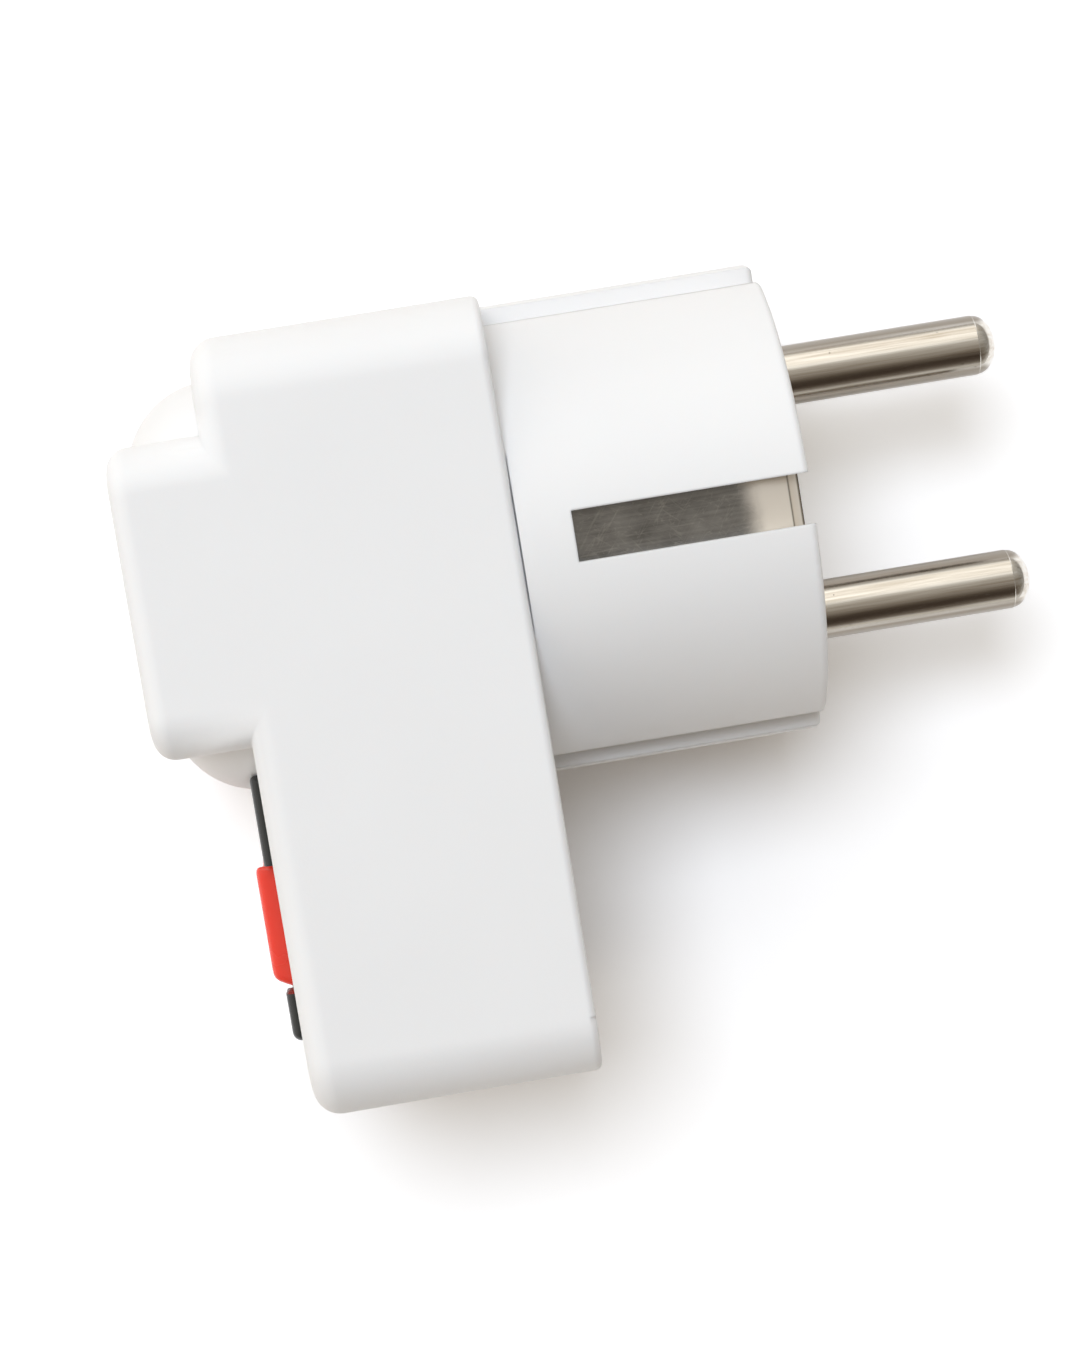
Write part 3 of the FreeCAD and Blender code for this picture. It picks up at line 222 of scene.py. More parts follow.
def addStudio():
    half = studio["floorHalf"]
    corners = [(-half, -half, 0), (half, -half, 0), (half, half, 0), (-half, half, 0)]
    mesh = bpy.data.meshes.new("floor")
    mesh.from_pydata(corners, [], [(0, 1, 2, 3)])
    floor = bpy.data.objects.new("floor", mesh)
    floor.location.z = -studio["floorBelow"] * mm
    mesh.materials.append(floorMaterial())
    bpy.context.scene.collection.objects.link(floor)

    addRoom()
    direction = inPicture(*studio["keyFrom"]).normalized()
    key = bpy.data.lights.new("softbox", "AREA")
    key.shape = "DISK"
    key.size = studio["keySize"]
    key.energy = studio["keyPower"]
    key.color = linear(studio["keyColour"])[:3]
    lamp = bpy.data.objects.new("softbox", key)
    lamp.location = direction * studio["keyDistance"]
    lamp.rotation_euler = direction.to_track_quat("Z", "Y").to_euler()
    lamp.visible_glossy = False          # so that it doesn't draw a hot spot on the pins
    bpy.context.scene.collection.objects.link(lamp)
    bpy.context.scene.view_settings.view_transform = "Standard"


addStudio()
print("floor, window room and softbox placed")

moulding = {
    "grainDeep": 0.02,           # mm
    "sink": 16.0,                # mm from one sink mark to the next
    "shade": 0.985,              # what is left of the colour in the darkest of them
    "ior": 1.53,
    "spread": (1.2, 1.0, 0.9),   # how far red, green and blue go in, in depths
    "depth": 0.8,                # mm
    "edgeRays": 4,
}


def mouldedPlastic(name, colour, rough=0.36, grain=0.25, wave=0.0, glow=0.0, edge=0.0):
    # injection-moulded plastic: satin sheen, a spark-eroded grain that only breaks up the gloss, and broad
    # shallow sink marks that make the reflections drift; grain, wave and edge are in mm
    # the real grain is too fine to show, so it is drawn coarser
    material, tree = newMaterial(name)
    place = addNode(tree, "ShaderNodeTexCoord")
    fine = addNode(tree, "ShaderNodeTexNoise", {"Scale": 1 / (grain * mm), "Detail": 3.0, "Roughness": 0.6},
                   {"Vector": place.outputs["Object"]})
    broad = addNode(tree, "ShaderNodeTexNoise", {"Scale": 1 / (moulding["sink"] * mm), "Detail": 1.5},
                    {"Vector": place.outputs["Object"]})
    tint = addNode(tree, "ShaderNodeMapRange",
                   {"From Min": 0.3, "From Max": 0.7, "To Min": moulding["shade"]},
                   {"Value": broad.outputs["Fac"]})
    shade = addNode(tree, "ShaderNodeMix",
                    {"data_type": "RGBA", "blend_type": "MULTIPLY", 0: 1.0, 6: linear(colour)},
                    {7: tint.outputs[0]})
    sheen = addNode(tree, "ShaderNodeMapRange",
                    {"From Min": 0.35, "From Max": 0.65, "To Min": rough - 0.04, "To Max": rough + 0.05},
                    {"Value": fine.outputs["Fac"]})
    relief = addNode(tree, "ShaderNodeBump", {"Strength": 0.35, "Distance": moulding["grainDeep"] * mm},
                     {"Height": fine.outputs["Fac"]})
    if edge:                                    # a mould leaves no knife edge
        rolled = addNode(tree, "ShaderNodeBevel", {"samples": moulding["edgeRays"], "Radius": edge * mm})
        tree.links.new(rolled.outputs[0], relief.inputs["Normal"])
    if wave:
        relief = addNode(tree, "ShaderNodeBump", {"Strength": 1.0, "Distance": wave * mm},
                         {"Height": broad.outputs["Fac"], "Normal": relief.outputs[0]})
    shader = addNode(tree, "ShaderNodeBsdfPrincipled", {"IOR": moulding["ior"]},
                     {"Base Color": shade.outputs[2], "Roughness": sheen.outputs[0],
                      "Normal": relief.outputs[0]})
    if glow:
        shader.inputs["Subsurface Weight"].default_value = glow
        shader.inputs["Subsurface Radius"].default_value = moulding["spread"]
        shader.inputs["Subsurface Scale"].default_value = moulding["depth"] * mm
    return finishMaterial(material, shader)


metalFinish = {
    "scratch": 0.15,             # mm across a scratch
    "drawn": 0.04,               # its width as a share of its length
    "patch": 8.0,                # mm across a dulled patch
    "deep": 0.01,                # mm
}


def platedMetal(name, colour, dark, rough, along="X"):
    # plated or rolled metal: fine scratches drawn out along one direction, dulled in patches
    material, tree = newMaterial(name)
    place = addNode(tree, "ShaderNodeTexCoord")
    stretch = tuple(metalFinish["drawn"] if axis == along else 1.0 for axis in "XYZ")
    drawn = addNode(tree, "ShaderNodeMapping", {"Scale": stretch}, {"Vector": place.outputs["Object"]})
    lines = addNode(tree, "ShaderNodeTexNoise",
                    {"Scale": 1 / (metalFinish["scratch"] * mm), "Detail": 4.0, "Roughness": 0.7},
                    {"Vector": drawn.outputs[0]})
    patch = addNode(tree, "ShaderNodeTexNoise", {"Scale": 1 / (metalFinish["patch"] * mm), "Detail": 3.0},
                    {"Vector": place.outputs["Object"]})
    gloss = addNode(tree, "ShaderNodeMapRange",
                    {"From Min": 0.3, "From Max": 0.7, "To Min": rough * 0.7, "To Max": rough * 1.5},
                    {"Value": lines.outputs["Fac"]})
    blend = addNode(tree, "ShaderNodeMapRange", {"From Min": 0.35, "From Max": 0.7, "To Max": 0.6},
                    {"Value": patch.outputs["Fac"]})
    tint = addNode(tree, "ShaderNodeMix", {"data_type": "RGBA", 6: linear(colour), 7: linear(dark)},
                   {0: blend.outputs[0]})
    relief = addNode(tree, "ShaderNodeBump", {"Strength": 0.25, "Distance": metalFinish["deep"] * mm},
                     {"Height": lines.outputs["Fac"]})
    shader = addNode(tree, "ShaderNodeBsdfPrincipled", {"Metallic": 1.0},
                     {"Base Color": tint.outputs[2], "Roughness": gloss.outputs[0],
                      "Normal": relief.outputs[0]})
    return finishMaterial(material, shader)


pinFinish = {
    "bright": "#EDEAE4",         # nickel over brass, slightly warm
    "worn": "#D3CCC1",           # rubbed through a little by wall sockets
    "stain": "#9B8468",          # brown drag marks
    "nicked": "#6F6656",
    "sideShade": "#857B6E",        # painted shade along both sides, darker where the pin turns away from the top
    "sides": (0.60, 0.80),       # sine of the turn away from the top where the painted shade starts and is full
    "lineWidth": 0.35,           # mm across a drawn streak
    "lineLength": 14.0,          # mm along the pin
    "lineDeep": 0.012,           # mm
    "hairWidth": 0.09,           # mm
    "hairDeep": 0.004,           # mm
    "dragWidth": 0.8,            # mm
    "nickApart": 1.6,            # mm
    "nickSize": (0.025, 0.055),  # its core and its rim, as shares of that distance
    "rough": 0.17,
}


def nickelPlate():
    # turned brass pin, nickel-plated and pushed into sockets: streaks drawn out along the pin, a few nicks,
    # and painted shade along both sides
    material, tree = newMaterial("nickelPlatedBrass")
    place = addNode(tree, "ShaderNodeTexCoord")
    across = pinFinish["lineWidth"] / pinFinish["lineLength"]
    drawn = addNode(tree, "ShaderNodeMapping", {"Scale": (across, 1.0, 1.0)},
                    {"Vector": place.outputs["Object"]})
    streaks = addNode(tree, "ShaderNodeTexNoise",
                      {"Scale": 1 / (pinFinish["lineWidth"] * mm), "Detail": 4.0, "Roughness": 0.62,
                       "Distortion": 0.15}, {"Vector": drawn.outputs[0]})
    hairs = addNode(tree, "ShaderNodeTexNoise", {"Scale": 1 / (pinFinish["hairWidth"] * mm), "Detail": 2.0},
                    {"Vector": drawn.outputs[0]})
    drags = addNode(tree, "ShaderNodeTexNoise",
                    {"Scale": 1 / (pinFinish["dragWidth"] * mm), "Detail": 5.0, "Roughness": 0.7,
                     "Distortion": 0.3}, {"Vector": drawn.outputs[0]})
    nicks = addNode(tree, "ShaderNodeTexVoronoi", {"Scale": 1 / (pinFinish["nickApart"] * mm)},
                    {"Vector": place.outputs["Object"]})
    core, rim = pinFinish["nickSize"]
    nick = addNode(tree, "ShaderNodeMapRange",
                   {"From Min": core, "From Max": rim, "To Min": 0.8, "To Max": 0.0},
                   {"Value": nicks.outputs["Distance"]})
    worn = addNode(tree, "ShaderNodeMapRange", {"From Min": 0.42, "From Max": 0.66},
                   {"Value": streaks.outputs["Fac"]})
    drag = addNode(tree, "ShaderNodeMapRange", {"From Min": 0.55, "From Max": 0.70, "To Max": 0.45},
                   {"Value": drags.outputs["Fac"]})
    # painted shade: the colour darkens along both sides of the pin, where its surface turns away from the top
    facing = addNode(tree, "ShaderNodeSeparateXYZ", links={0: place.outputs["Normal"]})
    sideways = addNode(tree, "ShaderNodeMath", {"operation": "ABSOLUTE"}, {0: facing.outputs["Y"]})
    start, full = pinFinish["sides"]
    dull = addNode(tree, "ShaderNodeMapRange", {"From Min": start, "From Max": full, "To Max": 0.9},
                   {"Value": sideways.outputs[0]})
    tint = addNode(tree, "ShaderNodeMix",
                   {"data_type": "RGBA", 6: linear(pinFinish["bright"]), 7: linear(pinFinish["worn"])},
                   {0: worn.outputs[0]})
    for mark, share in (("stain", drag), ("nicked", nick), ("sideShade", dull)):
        tint = addNode(tree, "ShaderNodeMix", {"data_type": "RGBA", 7: linear(pinFinish[mark])},
                       {0: share.outputs[0], 6: tint.outputs[2]})
    gloss = addNode(tree, "ShaderNodeMapRange",
                    {"From Min": 0.3, "From Max": 0.7, "To Min": pinFinish["rough"] * 0.6,
                     "To Max": pinFinish["rough"] * 1.5}, {"Value": streaks.outputs["Fac"]})
    relief = addNode(tree, "ShaderNodeBump", {"Strength": 0.5, "Distance": pinFinish["lineDeep"] * mm},
                     {"Height": streaks.outputs["Fac"]})
    relief = addNode(tree, "ShaderNodeBump", {"Strength": 0.3, "Distance": pinFinish["hairDeep"] * mm},
                     {"Height": hairs.outputs["Fac"], "Normal": relief.outputs[0]})
    shader = addNode(tree, "ShaderNodeBsdfPrincipled", {"Metallic": 1.0},
                     {"Base Color": tint.outputs[2], "Roughness": gloss.outputs[0],
                      "Normal": relief.outputs[0]})
    return finishMaterial(material, shader)


stripFinish = {
    "dull": "#A9A9A9",               # tin-plated strip, oxidised
    "dark": "#7D7D7C",
    "scratch": "#E4E2DE",
    "polished": "#ECE4D8",           # the bent end, rubbed bright by the socket's spring
    "polishedFrom": (27.8, 30.0),    # mm along the plug, where it starts and is full
    "ragged": 1.2,                   # mm that its start wanders
    "scuffWidth": 0.30,              # mm
    "scuffDrawn": 0.05,              # its width as a share of its length
    "scuffDeep": 0.02,               # mm
    "cloudWidth": 3.5,               # mm
    "hairApart": 0.55,               # mm between scratches side by side
    "hairDrawn": 0.12,               # that distance as a share of their length
    "scratched": (0, 38, -52),       # degrees from the strip's length
    "creased": (31.1, 32.1),         # mm along the plug, the end bend and the cut end, where painted shade lays dark lines
    "bendShade": [(0.0, "#FFFFFF"), (0.10, "#7F7A72"), (0.22, "#F6F3EE"),
               (0.78, "#FFFFFF"), (0.88, "#8A847A"), (1.0, "#57524A")],
    "rough": 0.42,
}


def tinnedStrip():
    # rolled strip: dull grey with lengthways scuffs and fine scratches, polished where it slides past the
    # socket's contact
    material, tree = newMaterial("tinnedStrip")
    place = addNode(tree, "ShaderNodeTexCoord")
    where = addNode(tree, "ShaderNodeSeparateXYZ", links={0: place.outputs["Object"]})
    drawn = addNode(tree, "ShaderNodeMapping", {"Scale": (stripFinish["scuffDrawn"], 1.0, 1.0)},
                    {"Vector": place.outputs["Object"]})
    scuff = addNode(tree, "ShaderNodeTexNoise",
                    {"Scale": 1 / (stripFinish["scuffWidth"] * mm), "Detail": 5.0, "Roughness": 0.65},
                    {"Vector": drawn.outputs[0]})
    cloud = addNode(tree, "ShaderNodeTexNoise",
                    {"Scale": 1 / (stripFinish["cloudWidth"] * mm), "Detail": 4.0, "Roughness": 0.6},
                    {"Vector": place.outputs["Object"]})
    both = addNode(tree, "ShaderNodeMix", {"data_type": "FLOAT", 0: 0.6},
                   {2: scuff.outputs["Fac"], 3: cloud.outputs["Fac"]})
    depth = addNode(tree, "ShaderNodeMapRange", {"From Min": 0.36, "From Max": 0.64},
                    {"Value": both.outputs[0]})
    tint = addNode(tree, "ShaderNodeMix",
                   {"data_type": "RGBA", 6: linear(stripFinish["dark"]), 7: linear(stripFinish["dull"])},
                   {0: depth.outputs[0]})
    for angle in stripFinish["scratched"]:
        turned = addNode(tree, "ShaderNodeMapping", {"Rotation": (0.0, 0.0, math.radians(angle))},
                         {"Vector": place.outputs["Object"]})
        pulled = addNode(tree, "ShaderNodeMapping", {"Scale": (stripFinish["hairDrawn"], 1.0, 1.0)},
                         {"Vector": turned.outputs[0]})
        hairs = addNode(tree, "ShaderNodeTexNoise",
                        {"Scale": 1 / (stripFinish["hairApart"] * mm), "Detail": 1.0, "Distortion": 0.2},
                        {"Vector": pulled.outputs[0]})
        off = addNode(tree, "ShaderNodeMath", {"operation": "SUBTRACT", 1: 0.5}, {0: hairs.outputs["Fac"]})
        gap = addNode(tree, "ShaderNodeMath", {"operation": "ABSOLUTE"}, {0: off.outputs[0]})
        hair = addNode(tree, "ShaderNodeMapRange", {"From Max": 0.010, "To Min": 0.18, "To Max": 0.0},
                       {"Value": gap.outputs[0]})
        tint = addNode(tree, "ShaderNodeMix", {"data_type": "RGBA", 7: linear(stripFinish["scratch"])},
                       {0: hair.outputs[0], 6: tint.outputs[2]})
    edge = addNode(tree, "ShaderNodeMath", {"operation": "MULTIPLY_ADD", 1: stripFinish["ragged"] * mm},
                   {0: cloud.outputs["Fac"], 2: where.outputs["X"]})
    start, full = stripFinish["polishedFrom"]
    end = addNode(tree, "ShaderNodeMapRange",
                  {"interpolation_type": "SMOOTHSTEP", "From Min": start * mm, "From Max": full * mm},
                  {"Value": edge.outputs[0]})
    tint = addNode(tree, "ShaderNodeMix", {"data_type": "RGBA", 7: linear(stripFinish["polished"])},
                   {0: end.outputs[0], 6: tint.outputs[2]})
    # painted shade: dark lines across the end bend and at the cut end, multiplied into the colour
    bend, cut = stripFinish["creased"]
    along = addNode(tree, "ShaderNodeMapRange", {"From Min": bend * mm, "From Max": cut * mm},
                    {"Value": where.outputs["X"]})
    bendShade = addNode(tree, "ShaderNodeValToRGB", {"ramp": stripFinish["bendShade"]}, {"Fac": along.outputs[0]})
    tint = addNode(tree, "ShaderNodeMix", {"data_type": "RGBA", "blend_type": "MULTIPLY", 0: 1.0},
                   {6: tint.outputs[2], 7: bendShade.outputs[0]})
    clean = addNode(tree, "ShaderNodeMapRange", {"To Min": 1.0, "To Max": 0.4}, {"Value": end.outputs[0]})
    relief = addNode(tree, "ShaderNodeBump", {"Strength": 0.4, "Distance": stripFinish["scuffDeep"] * mm},
                     {"Height": scuff.outputs["Fac"]})
    shader = addNode(tree, "ShaderNodeBsdfPrincipled", {"Roughness": stripFinish["rough"]},
                     {"Base Color": tint.outputs[2], "Metallic": clean.outputs[0],
                      "Normal": relief.outputs[0]})
    return finishMaterial(material, shader)


redFinish = {
    "colour": "#FF4636",
    "ior": 1.58,
    "glow": 0.5,                 # share of the light that spreads inside
    "spread": (2.5, 0.5, 0.3),   # red goes much further in than green and blue, in depths
    "depth": 0.8,                # mm
    "cloud": 2.5,                # mm across a patch of finger grease
    "rough": (0.18, 0.28),
    "coat": (0.6, 0.06),         # weight and roughness of the polished skin
}


def redPolycarbonate():
    # translucent polycarbonate from a polished tool: glossy, light spreads inside it so the edges glow
    material, tree = newMaterial("translucentPolycarbonate")
    place = addNode(tree, "ShaderNodeTexCoord")
    cloud = addNode(tree, "ShaderNodeTexNoise", {"Scale": 1 / (redFinish["cloud"] * mm), "Detail": 2.0},
                    {"Vector": place.outputs["Object"]})
    smooth, dull = redFinish["rough"]
    gloss = addNode(tree, "ShaderNodeMapRange",
                    {"From Min": 0.3, "From Max": 0.7, "To Min": smooth, "To Max": dull},
                    {"Value": cloud.outputs["Fac"]})
    weight, rough = redFinish["coat"]
    shader = addNode(tree, "ShaderNodeBsdfPrincipled",
                     {"Base Color": linear(redFinish["colour"]), "IOR": redFinish["ior"],
                      "Subsurface Weight": redFinish["glow"], "Subsurface Radius": redFinish["spread"],
                      "Subsurface Scale": redFinish["depth"] * mm,
                      "Coat Weight": weight, "Coat Roughness": rough},
                     {"Roughness": gloss.outputs[0]})
    return finishMaterial(material, shader)


finishes = {
    "housing_white": mouldedPlastic("whiteAbs", "#EFF0F2", rough=0.38, wave=0.15, glow=0.15, edge=0.28),
    "face_white": mouldedPlastic("whiteAbsInsert", "#E9EBEC", glow=0.1),
    "carrier_ivory": mouldedPlastic("ivoryUrea", "#DAD7CC", rough=0.5),
    "switch_black": mouldedPlastic("blackNylon", "#2A2C2D", rough=0.22, grain=0.3, edge=0.25),
    "rocker_red": redPolycarbonate(),
    "pin_nickel": nickelPlate(),
    "earth_steel": tinnedStrip(),
    "contact_brass": platedMetal("stampedBrass", "#D8B26A", "#A9823F", rough=0.28, along="Y"),
    "bus_brass": platedMetal("brassStrip", "#CFA65C", "#9C7638", rough=0.3, along="Y"),
    "contact_silver": platedMetal("silveredStrip", "#DADAD6", "#A8A7A2", rough=0.22, along="Y"),
    "screw_steel": platedMetal("zincPlate", "#B7B9B8", "#8C8F90", rough=0.3),
    "spring_steel": platedMetal("springWire", "#B9BBBB", "#8E9192", rough=0.25),
    "plunger_white": mouldedPlastic("acetal", "#E6E5E0", rough=0.3),
}
for part in frame["record"]["subparts"]:
    mesh = nodes[part["node"]].data
    mesh.materials.clear()
    mesh.materials.append(finishes[part["material_slot"]])


def addPiece(name, mesh, finish, body, node):
    # a detailed piece that stands for the CAD node and takes its finish
    mesh.materials.clear()
    mesh.materials.append(finishes[finish])
    piece = bpy.data.objects.new(name, mesh)
    bpy.context.scene.collection.objects.link(piece)
    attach(piece, body)
    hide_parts(node)


def worked(mesh, *modifiers):
    # the mesh after these modifiers, each a type and its settings
    draft = bpy.data.objects.new("draft", mesh)
    bpy.context.scene.collection.objects.link(draft)
    for kind, settings in modifiers:
        modifier = draft.modifiers.new(kind.lower(), kind)
        for key, setting in settings.items():
            setattr(modifier, key, setting)
    made = bpy.data.meshes.new_from_object(draft.evaluated_get(bpy.context.evaluated_depsgraph_get()))
    bpy.data.objects.remove(draft)
    return made


def meshFrom(bm, name, angle):
    # smooth faces, with a sharp edge where two meet at more than this angle in degrees
    bmesh.ops.recalc_face_normals(bm, faces=bm.faces)
    mesh = bpy.data.meshes.new(name)
    bm.to_mesh(mesh)
    bm.free()
    mesh.shade_smooth()
    mesh.set_sharp_from_angle(angle=math.radians(angle))
    return mesh


def turnAbout(bm, profile, y, z, steps):
    # the (x, radius) profile in mm turned about the line along x, closed at both ends
    rings = []
    for x, radius in profile:
        count = steps if radius > 0 else 1
        turns = [2 * math.pi * k / steps for k in range(count)]
        rings.append([bm.verts.new((x * mm, (y + radius * math.cos(t)) * mm, (z + radius * math.sin(t)) * mm))
                      for t in turns])
    for low, high in zip(rings, rings[1:]):
        for k in range(steps):
            corners = [low[k % len(low)], low[(k + 1) % steps % len(low)],
                       high[(k + 1) % steps % len(high)], high[k % len(high)]]
            bm.faces.new(list(dict.fromkeys(corners)))


def quarterRound(x, radius, long, high, steps):
    # points of a quarter ellipse from (x, radius) that falls by high over long
    # rounded, so that the last point of a dome is exactly on the axis
    turns = [math.pi / 2 * k / steps for k in range(1, steps + 1)]
    return [(x + long * math.sin(t), round(radius - high + high * math.cos(t), 9)) for t in turns]


rearRim = {
    "back": 10.9,                # mm, plane of the housing's rear end
    "middle": (-10.75, 18.75),   # mm, y and z of the housing's middle
    "half": (29.5, 18.75),       # mm, half its width and half its depth
    "corner": 5.0,               # mm, rounding of the long edges
    "rounding": 0.6,             # mm
    "cuts": 5,                   # odd, so that the middle row stays in place
    "near": 0.03,                # mm, what still counts as on the bevel
    "row": 0.02,                 # share of the bevel, what still counts as on one of its rows
    "merge": 0.001,              # mm, points this close are one
    "sharp": 30.0,               # degrees
    "flatWeight": 80,            # how much more the large faces count in the shading
}


def rimInset(point):
    # how far a point lies inside the housing's outline in mm, and the outline's outward direction there
    out = [0.0, 0.0]
    for k in range(2):
        reach = point[k + 1] / mm - rearRim["middle"][k]
        out[k] = math.copysign(max(abs(reach) - (rearRim["half"][k] - rearRim["corner"]), 0.0), reach)
    length = math.hypot(*out)
    if length < 1e-6:            # further in than the corner's rounding, so not at the rim
        return math.inf, (0.0, 0.0)
    return rearRim["corner"] - length, (out[0] / length, out[1] / length)


def softRim():
    # the moulded shell with its rear rim rolled over as a small radius instead of the CAD bevel
    size, near = rearRim["rounding"], rearRim["near"]
    front = rearRim["back"] - size
    bm = bmesh.new()
    bm.from_mesh(nodes["front_housing"].data)
    bmesh.ops.remove_doubles(bm, verts=bm.verts, dist=rearRim["merge"] * mm)

    def rank(vert):
        # 0, 1 or 2 for a vertex at the start, middle or end of the bevel, None off it
        inset, _ = rimInset(vert.co)
        part = (vert.co.x / mm - front) / size
        onRow = min(abs(part), abs(part - 0.5), abs(part - 1)) < rearRim["row"]
        return round(part * 2) if onRow and abs(inset - part * size) < near else None

    ranks = {vert: rank(vert) for vert in bm.verts}
    across = {1: [], 2: []}
    for edge in bm.edges:
        first, last = (ranks[vert] for vert in edge.verts)
        if first is not None and last is not None and first != last:
            across[abs(first - last)].append(edge)
    rounded = len(across[1]) + len(across[2])
    for span, cuts in ((1, rearRim["cuts"] // 2), (2, rearRim["cuts"])):
        bmesh.ops.subdivide_edges(bm, edges=[edge for edge in across[span] if edge.is_valid], cuts=cuts)
    for vert in bm.verts:
        inset, out = rimInset(vert.co)
        part = (vert.co.x / mm - front) / size
        if not 0.01 < part < 0.99 or abs(inset - part * size) > near:
            continue
        turn = part * math.pi / 2
        move = inset - size * (1 - math.cos(turn))
        vert.co.x = (front + size * math.sin(turn)) * mm
        vert.co.y += out[0] * move * mm
        vert.co.z += out[1] * move * mm
    mesh = worked(meshFrom(bm, "softRim", rearRim["sharp"]),
                  ("WEIGHTED_NORMAL", {"keep_sharp": True, "weight": rearRim["flatWeight"]}))
    addPiece("mouldedShell", mesh, "housing_white", "housing", "front_housing")
    print("moulded shell with its rolled rim:", rounded, "edges rounded")


softRim()

pinShape = {
    # mm, x and radius: seat, collar, neck, bar, and the ridge before the domed end
    "profile": [(6.0, 0.0), (6.0, 1.5), (7.0, 1.5), (7.0, 2.4), (25.9, 2.4), (25.9, 3.7), (27.5, 3.7),
                (27.5, 2.6), (31.9, 2.6), (31.9, 1.9), (32.2, 1.9), (32.2, 2.3), (32.3, 2.4), (32.4, 2.4),
                (49.9, 2.4), (50.0, 2.4), (50.06, 2.36)],
    "dome": 1.64,                # mm beyond that ridge
    "domeSteps": 10,
    "steps": 96,                 # round the bar
    "sharp": 24.0,               # degrees
    "height": 18.75,             # mm, z of both axes
    "seats": {"line_pin": -9.5, "neutral_pin": 9.5},    # mm, y of each axis
}


def turnedPin(node, y):
    # a bar turned on a lathe: a faint ridge is left where the domed end begins
    bm = bmesh.new()
    start, radius = pinShape["profile"][-1]
    dome = quarterRound(start, radius, pinShape["dome"], radius, pinShape["domeSteps"])
    turnAbout(bm, pinShape["profile"] + dome, y, pinShape["height"], pinShape["steps"])
    addPiece(node + "_turned", meshFrom(bm, node, pinShape["sharp"]), "pin_nickel", "housing", node)


for node, y in pinShape["seats"].items():
    turnedPin(node, y)
print("pins turned:", len(pinShape["seats"]))

screwShape = {
    "seat": 5.3,                 # mm, x under the head
    "head": (2.5, 1.8),          # mm, radius and height
    "edge": 0.72,                # mm, rounding of the head
    "edgeSteps": 6,
    "shank": 1.25,               # mm, radius over the thread
    "core": 0.8,                 # share of that radius between two turns
    "tip": -3.2,                 # mm, x of the point
    "point": (1.2, 0.9),         # mm of its cone, share of the radius that the cone reaches
    "first": 1.3,                # mm from the tip to the first turn
    "plain": 1.6,                # mm that carry no thread
    "pitch": 0.9,                # mm
    "crest": (0.35, 0.5, 0.85),  # mm along one turn where its crest starts and ends, and the core follows
    "cross": (0.42, 1.35),       # mm, half width and half length of the recess
    "deep": 1.1,                 # mm
    "above": 0.1,                # mm that the cutter stands over the head
    "taper": (0.55, 1.05),       # size of the cutter at its bottom and top
    "steps": 48,
    "sharp": 30.0,               # degrees
    "cutSharp": 35.0,            # degrees
    # y and z in mm, and how far each screw was driven in degrees
    "places": [(-21.4, 5.95, 20), (-21.4, 31.55, 65), (-34.4, 5.95, -12), (-34.4, 31.55, 41)],
}


def screwProfile(top):
    # from the point over the thread, drawn as rings because it never shows, to the middle of the head
    radius, seat, edge = screwShape["head"][0], screwShape["seat"], screwShape["edge"]
    tip, shank = screwShape["tip"], screwShape["shank"]
    core = shank * screwShape["core"]
    cone, share = screwShape["point"]
    profile = [(tip, 0.0), (tip + cone, shank * share)]
    rise, fall, low = screwShape["crest"]
    for k in range(int((seat - tip - screwShape["plain"]) / screwShape["pitch"])):
        start = tip + screwShape["first"] + screwShape["pitch"] * k
        profile += [(start, core), (start + rise, shank), (start + fall, shank), (start + low, core)]
    profile += [(seat, core), (seat, radius), (top - edge, radius)]
    return profile + quarterRound(top - edge, radius, edge, edge, screwShape["edgeSteps"]) + [(top, 0.0)]


def addCross(bm, top, y, z, driven):
    # the cutter of one recess, a tapered cross turned as far as its screw was driven
    wide, long = screwShape["cross"]
    outline, arm = [], [(wide, wide), (long, wide), (long, -wide)]
    for _ in range(4):
        outline += arm
        arm = [(b, -a) for a, b in arm]
    cos, sin = math.cos(math.radians(driven)), math.sin(math.radians(driven))
    layers = []
    for x, size in zip((top - screwShape["deep"], top + screwShape["above"]), screwShape["taper"]):
        ring = [(size * (a * cos - b * sin), size * (a * sin + b * cos)) for a, b in outline]
        layers.append([bm.verts.new((x * mm, (y + a) * mm, (z + b) * mm)) for a, b in ring])
    low, high = layers
    bm.faces.new(low)
    bm.faces.new(high[::-1])
    for k in range(len(outline)):
        n = (k + 1) % len(outline)
        bm.faces.new((low[k], low[n], high[n], high[k]))


def coverScrews():
    # zinc-plated pan-head screws with a cross recess, each driven to its own angle
    top = screwShape["seat"] + screwShape["head"][1]
    heads, recesses = bmesh.new(), bmesh.new()
    for y, z, driven in screwShape["places"]:
        turnAbout(heads, screwProfile(top), y, z, screwShape["steps"])
        addCross(recesses, top, y, z, driven)
    cutter = bpy.data.objects.new("recesses", meshFrom(recesses, "recesses", screwShape["cutSharp"]))
    bpy.context.scene.collection.objects.link(cutter)
    mesh = worked(meshFrom(heads, "heads", screwShape["sharp"]),
                  ("BOOLEAN", {"object": cutter, "operation": "DIFFERENCE", "solver": "EXACT"}))
    bpy.data.objects.remove(cutter)
    mesh.set_sharp_from_angle(angle=math.radians(screwShape["sharp"]))
    addPiece("coverScrewsCross", mesh, "screw_steel", "housing", "cover_screws")
    print("cover screws with cross recess:", len(screwShape["places"]))


coverScrews()

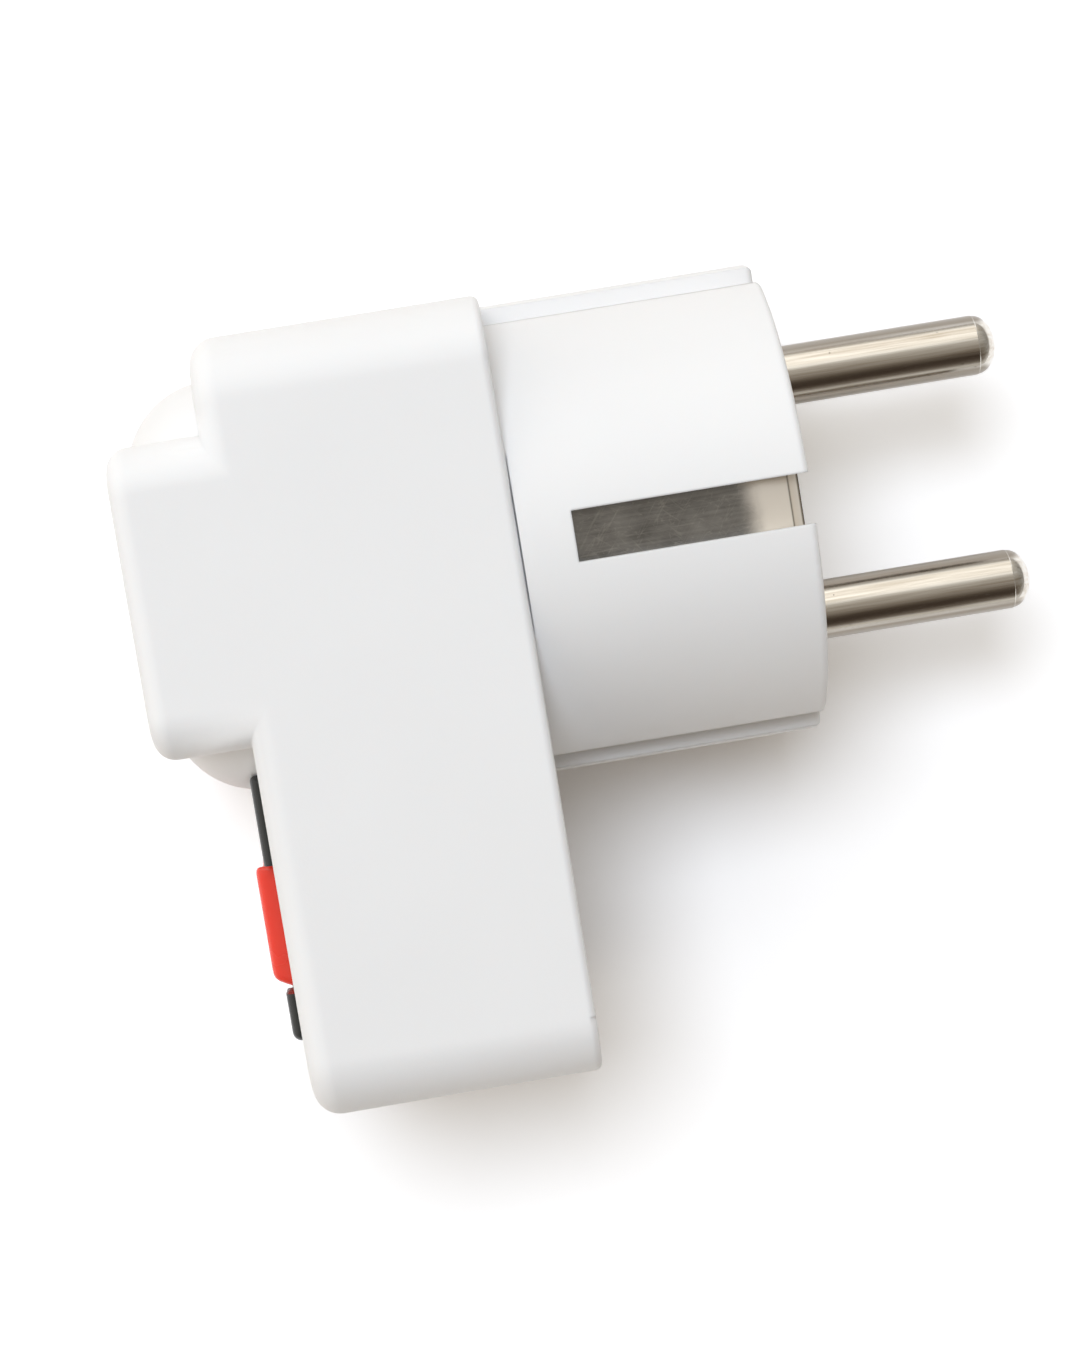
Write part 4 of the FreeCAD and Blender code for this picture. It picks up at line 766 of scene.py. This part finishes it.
springShape = {
    "pivot": (-9.3, -25.0, 18.75),   # mm, the rocker's axle
    "tilt": -10.0,                   # degrees, how the rocker leans at rest
    "reach": (1.15, 2.5),            # mm from the pivot
    "radius": 0.79,                  # mm, to the middle of the wire
    "wire": 0.14,                    # mm, half its thickness
    "turns": 4.0,
    "steps": 24,                     # in a turn
    "sides": 10,
    "sharp": 60.0,                   # degrees
}


def coiledSpring():
    # close coil of bright wire behind the plunger
    tilt, sides = math.radians(springShape["tilt"]), springShape["sides"]
    along = Vector((math.cos(tilt), math.sin(tilt), 0))
    side, rise = Vector((-along.y, along.x, 0)), Vector((0, 0, 1))
    low, high = springShape["reach"]
    steps = int(springShape["turns"] * springShape["steps"])
    bm, rings = bmesh.new(), []
    for k in range(steps + 1):
        turn = 2 * math.pi * springShape["turns"] * k / steps
        out = math.cos(turn) * side + math.sin(turn) * rise
        reach = low + (high - low) * k / steps
        middle = Vector(springShape["pivot"]) + reach * along + springShape["radius"] * out
        around = [math.cos(t) * out + math.sin(t) * along
                  for t in [2 * math.pi * j / sides for j in range(sides)]]
        rings.append([bm.verts.new((middle + springShape["wire"] * spoke) * mm) for spoke in around])
    for first, second in zip(rings, rings[1:]):
        for j in range(sides):
            n = (j + 1) % sides
            bm.faces.new((first[j], first[n], second[n], second[j]))
    bm.faces.new(rings[0])
    bm.faces.new(rings[-1][::-1])
    addPiece("plungerCoil", meshFrom(bm, "coil", springShape["sharp"]), "spring_steel", "rocker",
             "plunger_spring")
    print("spring coiled:", springShape["turns"], "turns")


coiledSpring()

rockerShape = {
    "grid": 0.12,                # mm, finer than the smallest rounding
    "rounds": 45,                # smoothing passes, about a 0.5 mm corner
    "pull": 0.5,                 # share of the way to its neighbours that a point goes in one pass
}


def polishedRocker():
    # the moulded rocker with every edge softened as a polished tool leaves it
    grid = {"mode": "VOXEL", "voxel_size": rockerShape["grid"] * mm, "use_smooth_shade": True}
    soften = {"factor": rockerShape["pull"], "iterations": rockerShape["rounds"]}
    mesh = worked(nodes["rocker"].data.copy(), ("REMESH", grid), ("SMOOTH", soften))
    addPiece("polishedRocker", mesh, "rocker_red", "rocker", "rocker")
    print("rocker polished:", len(mesh.polygons), "faces")


polishedRocker()
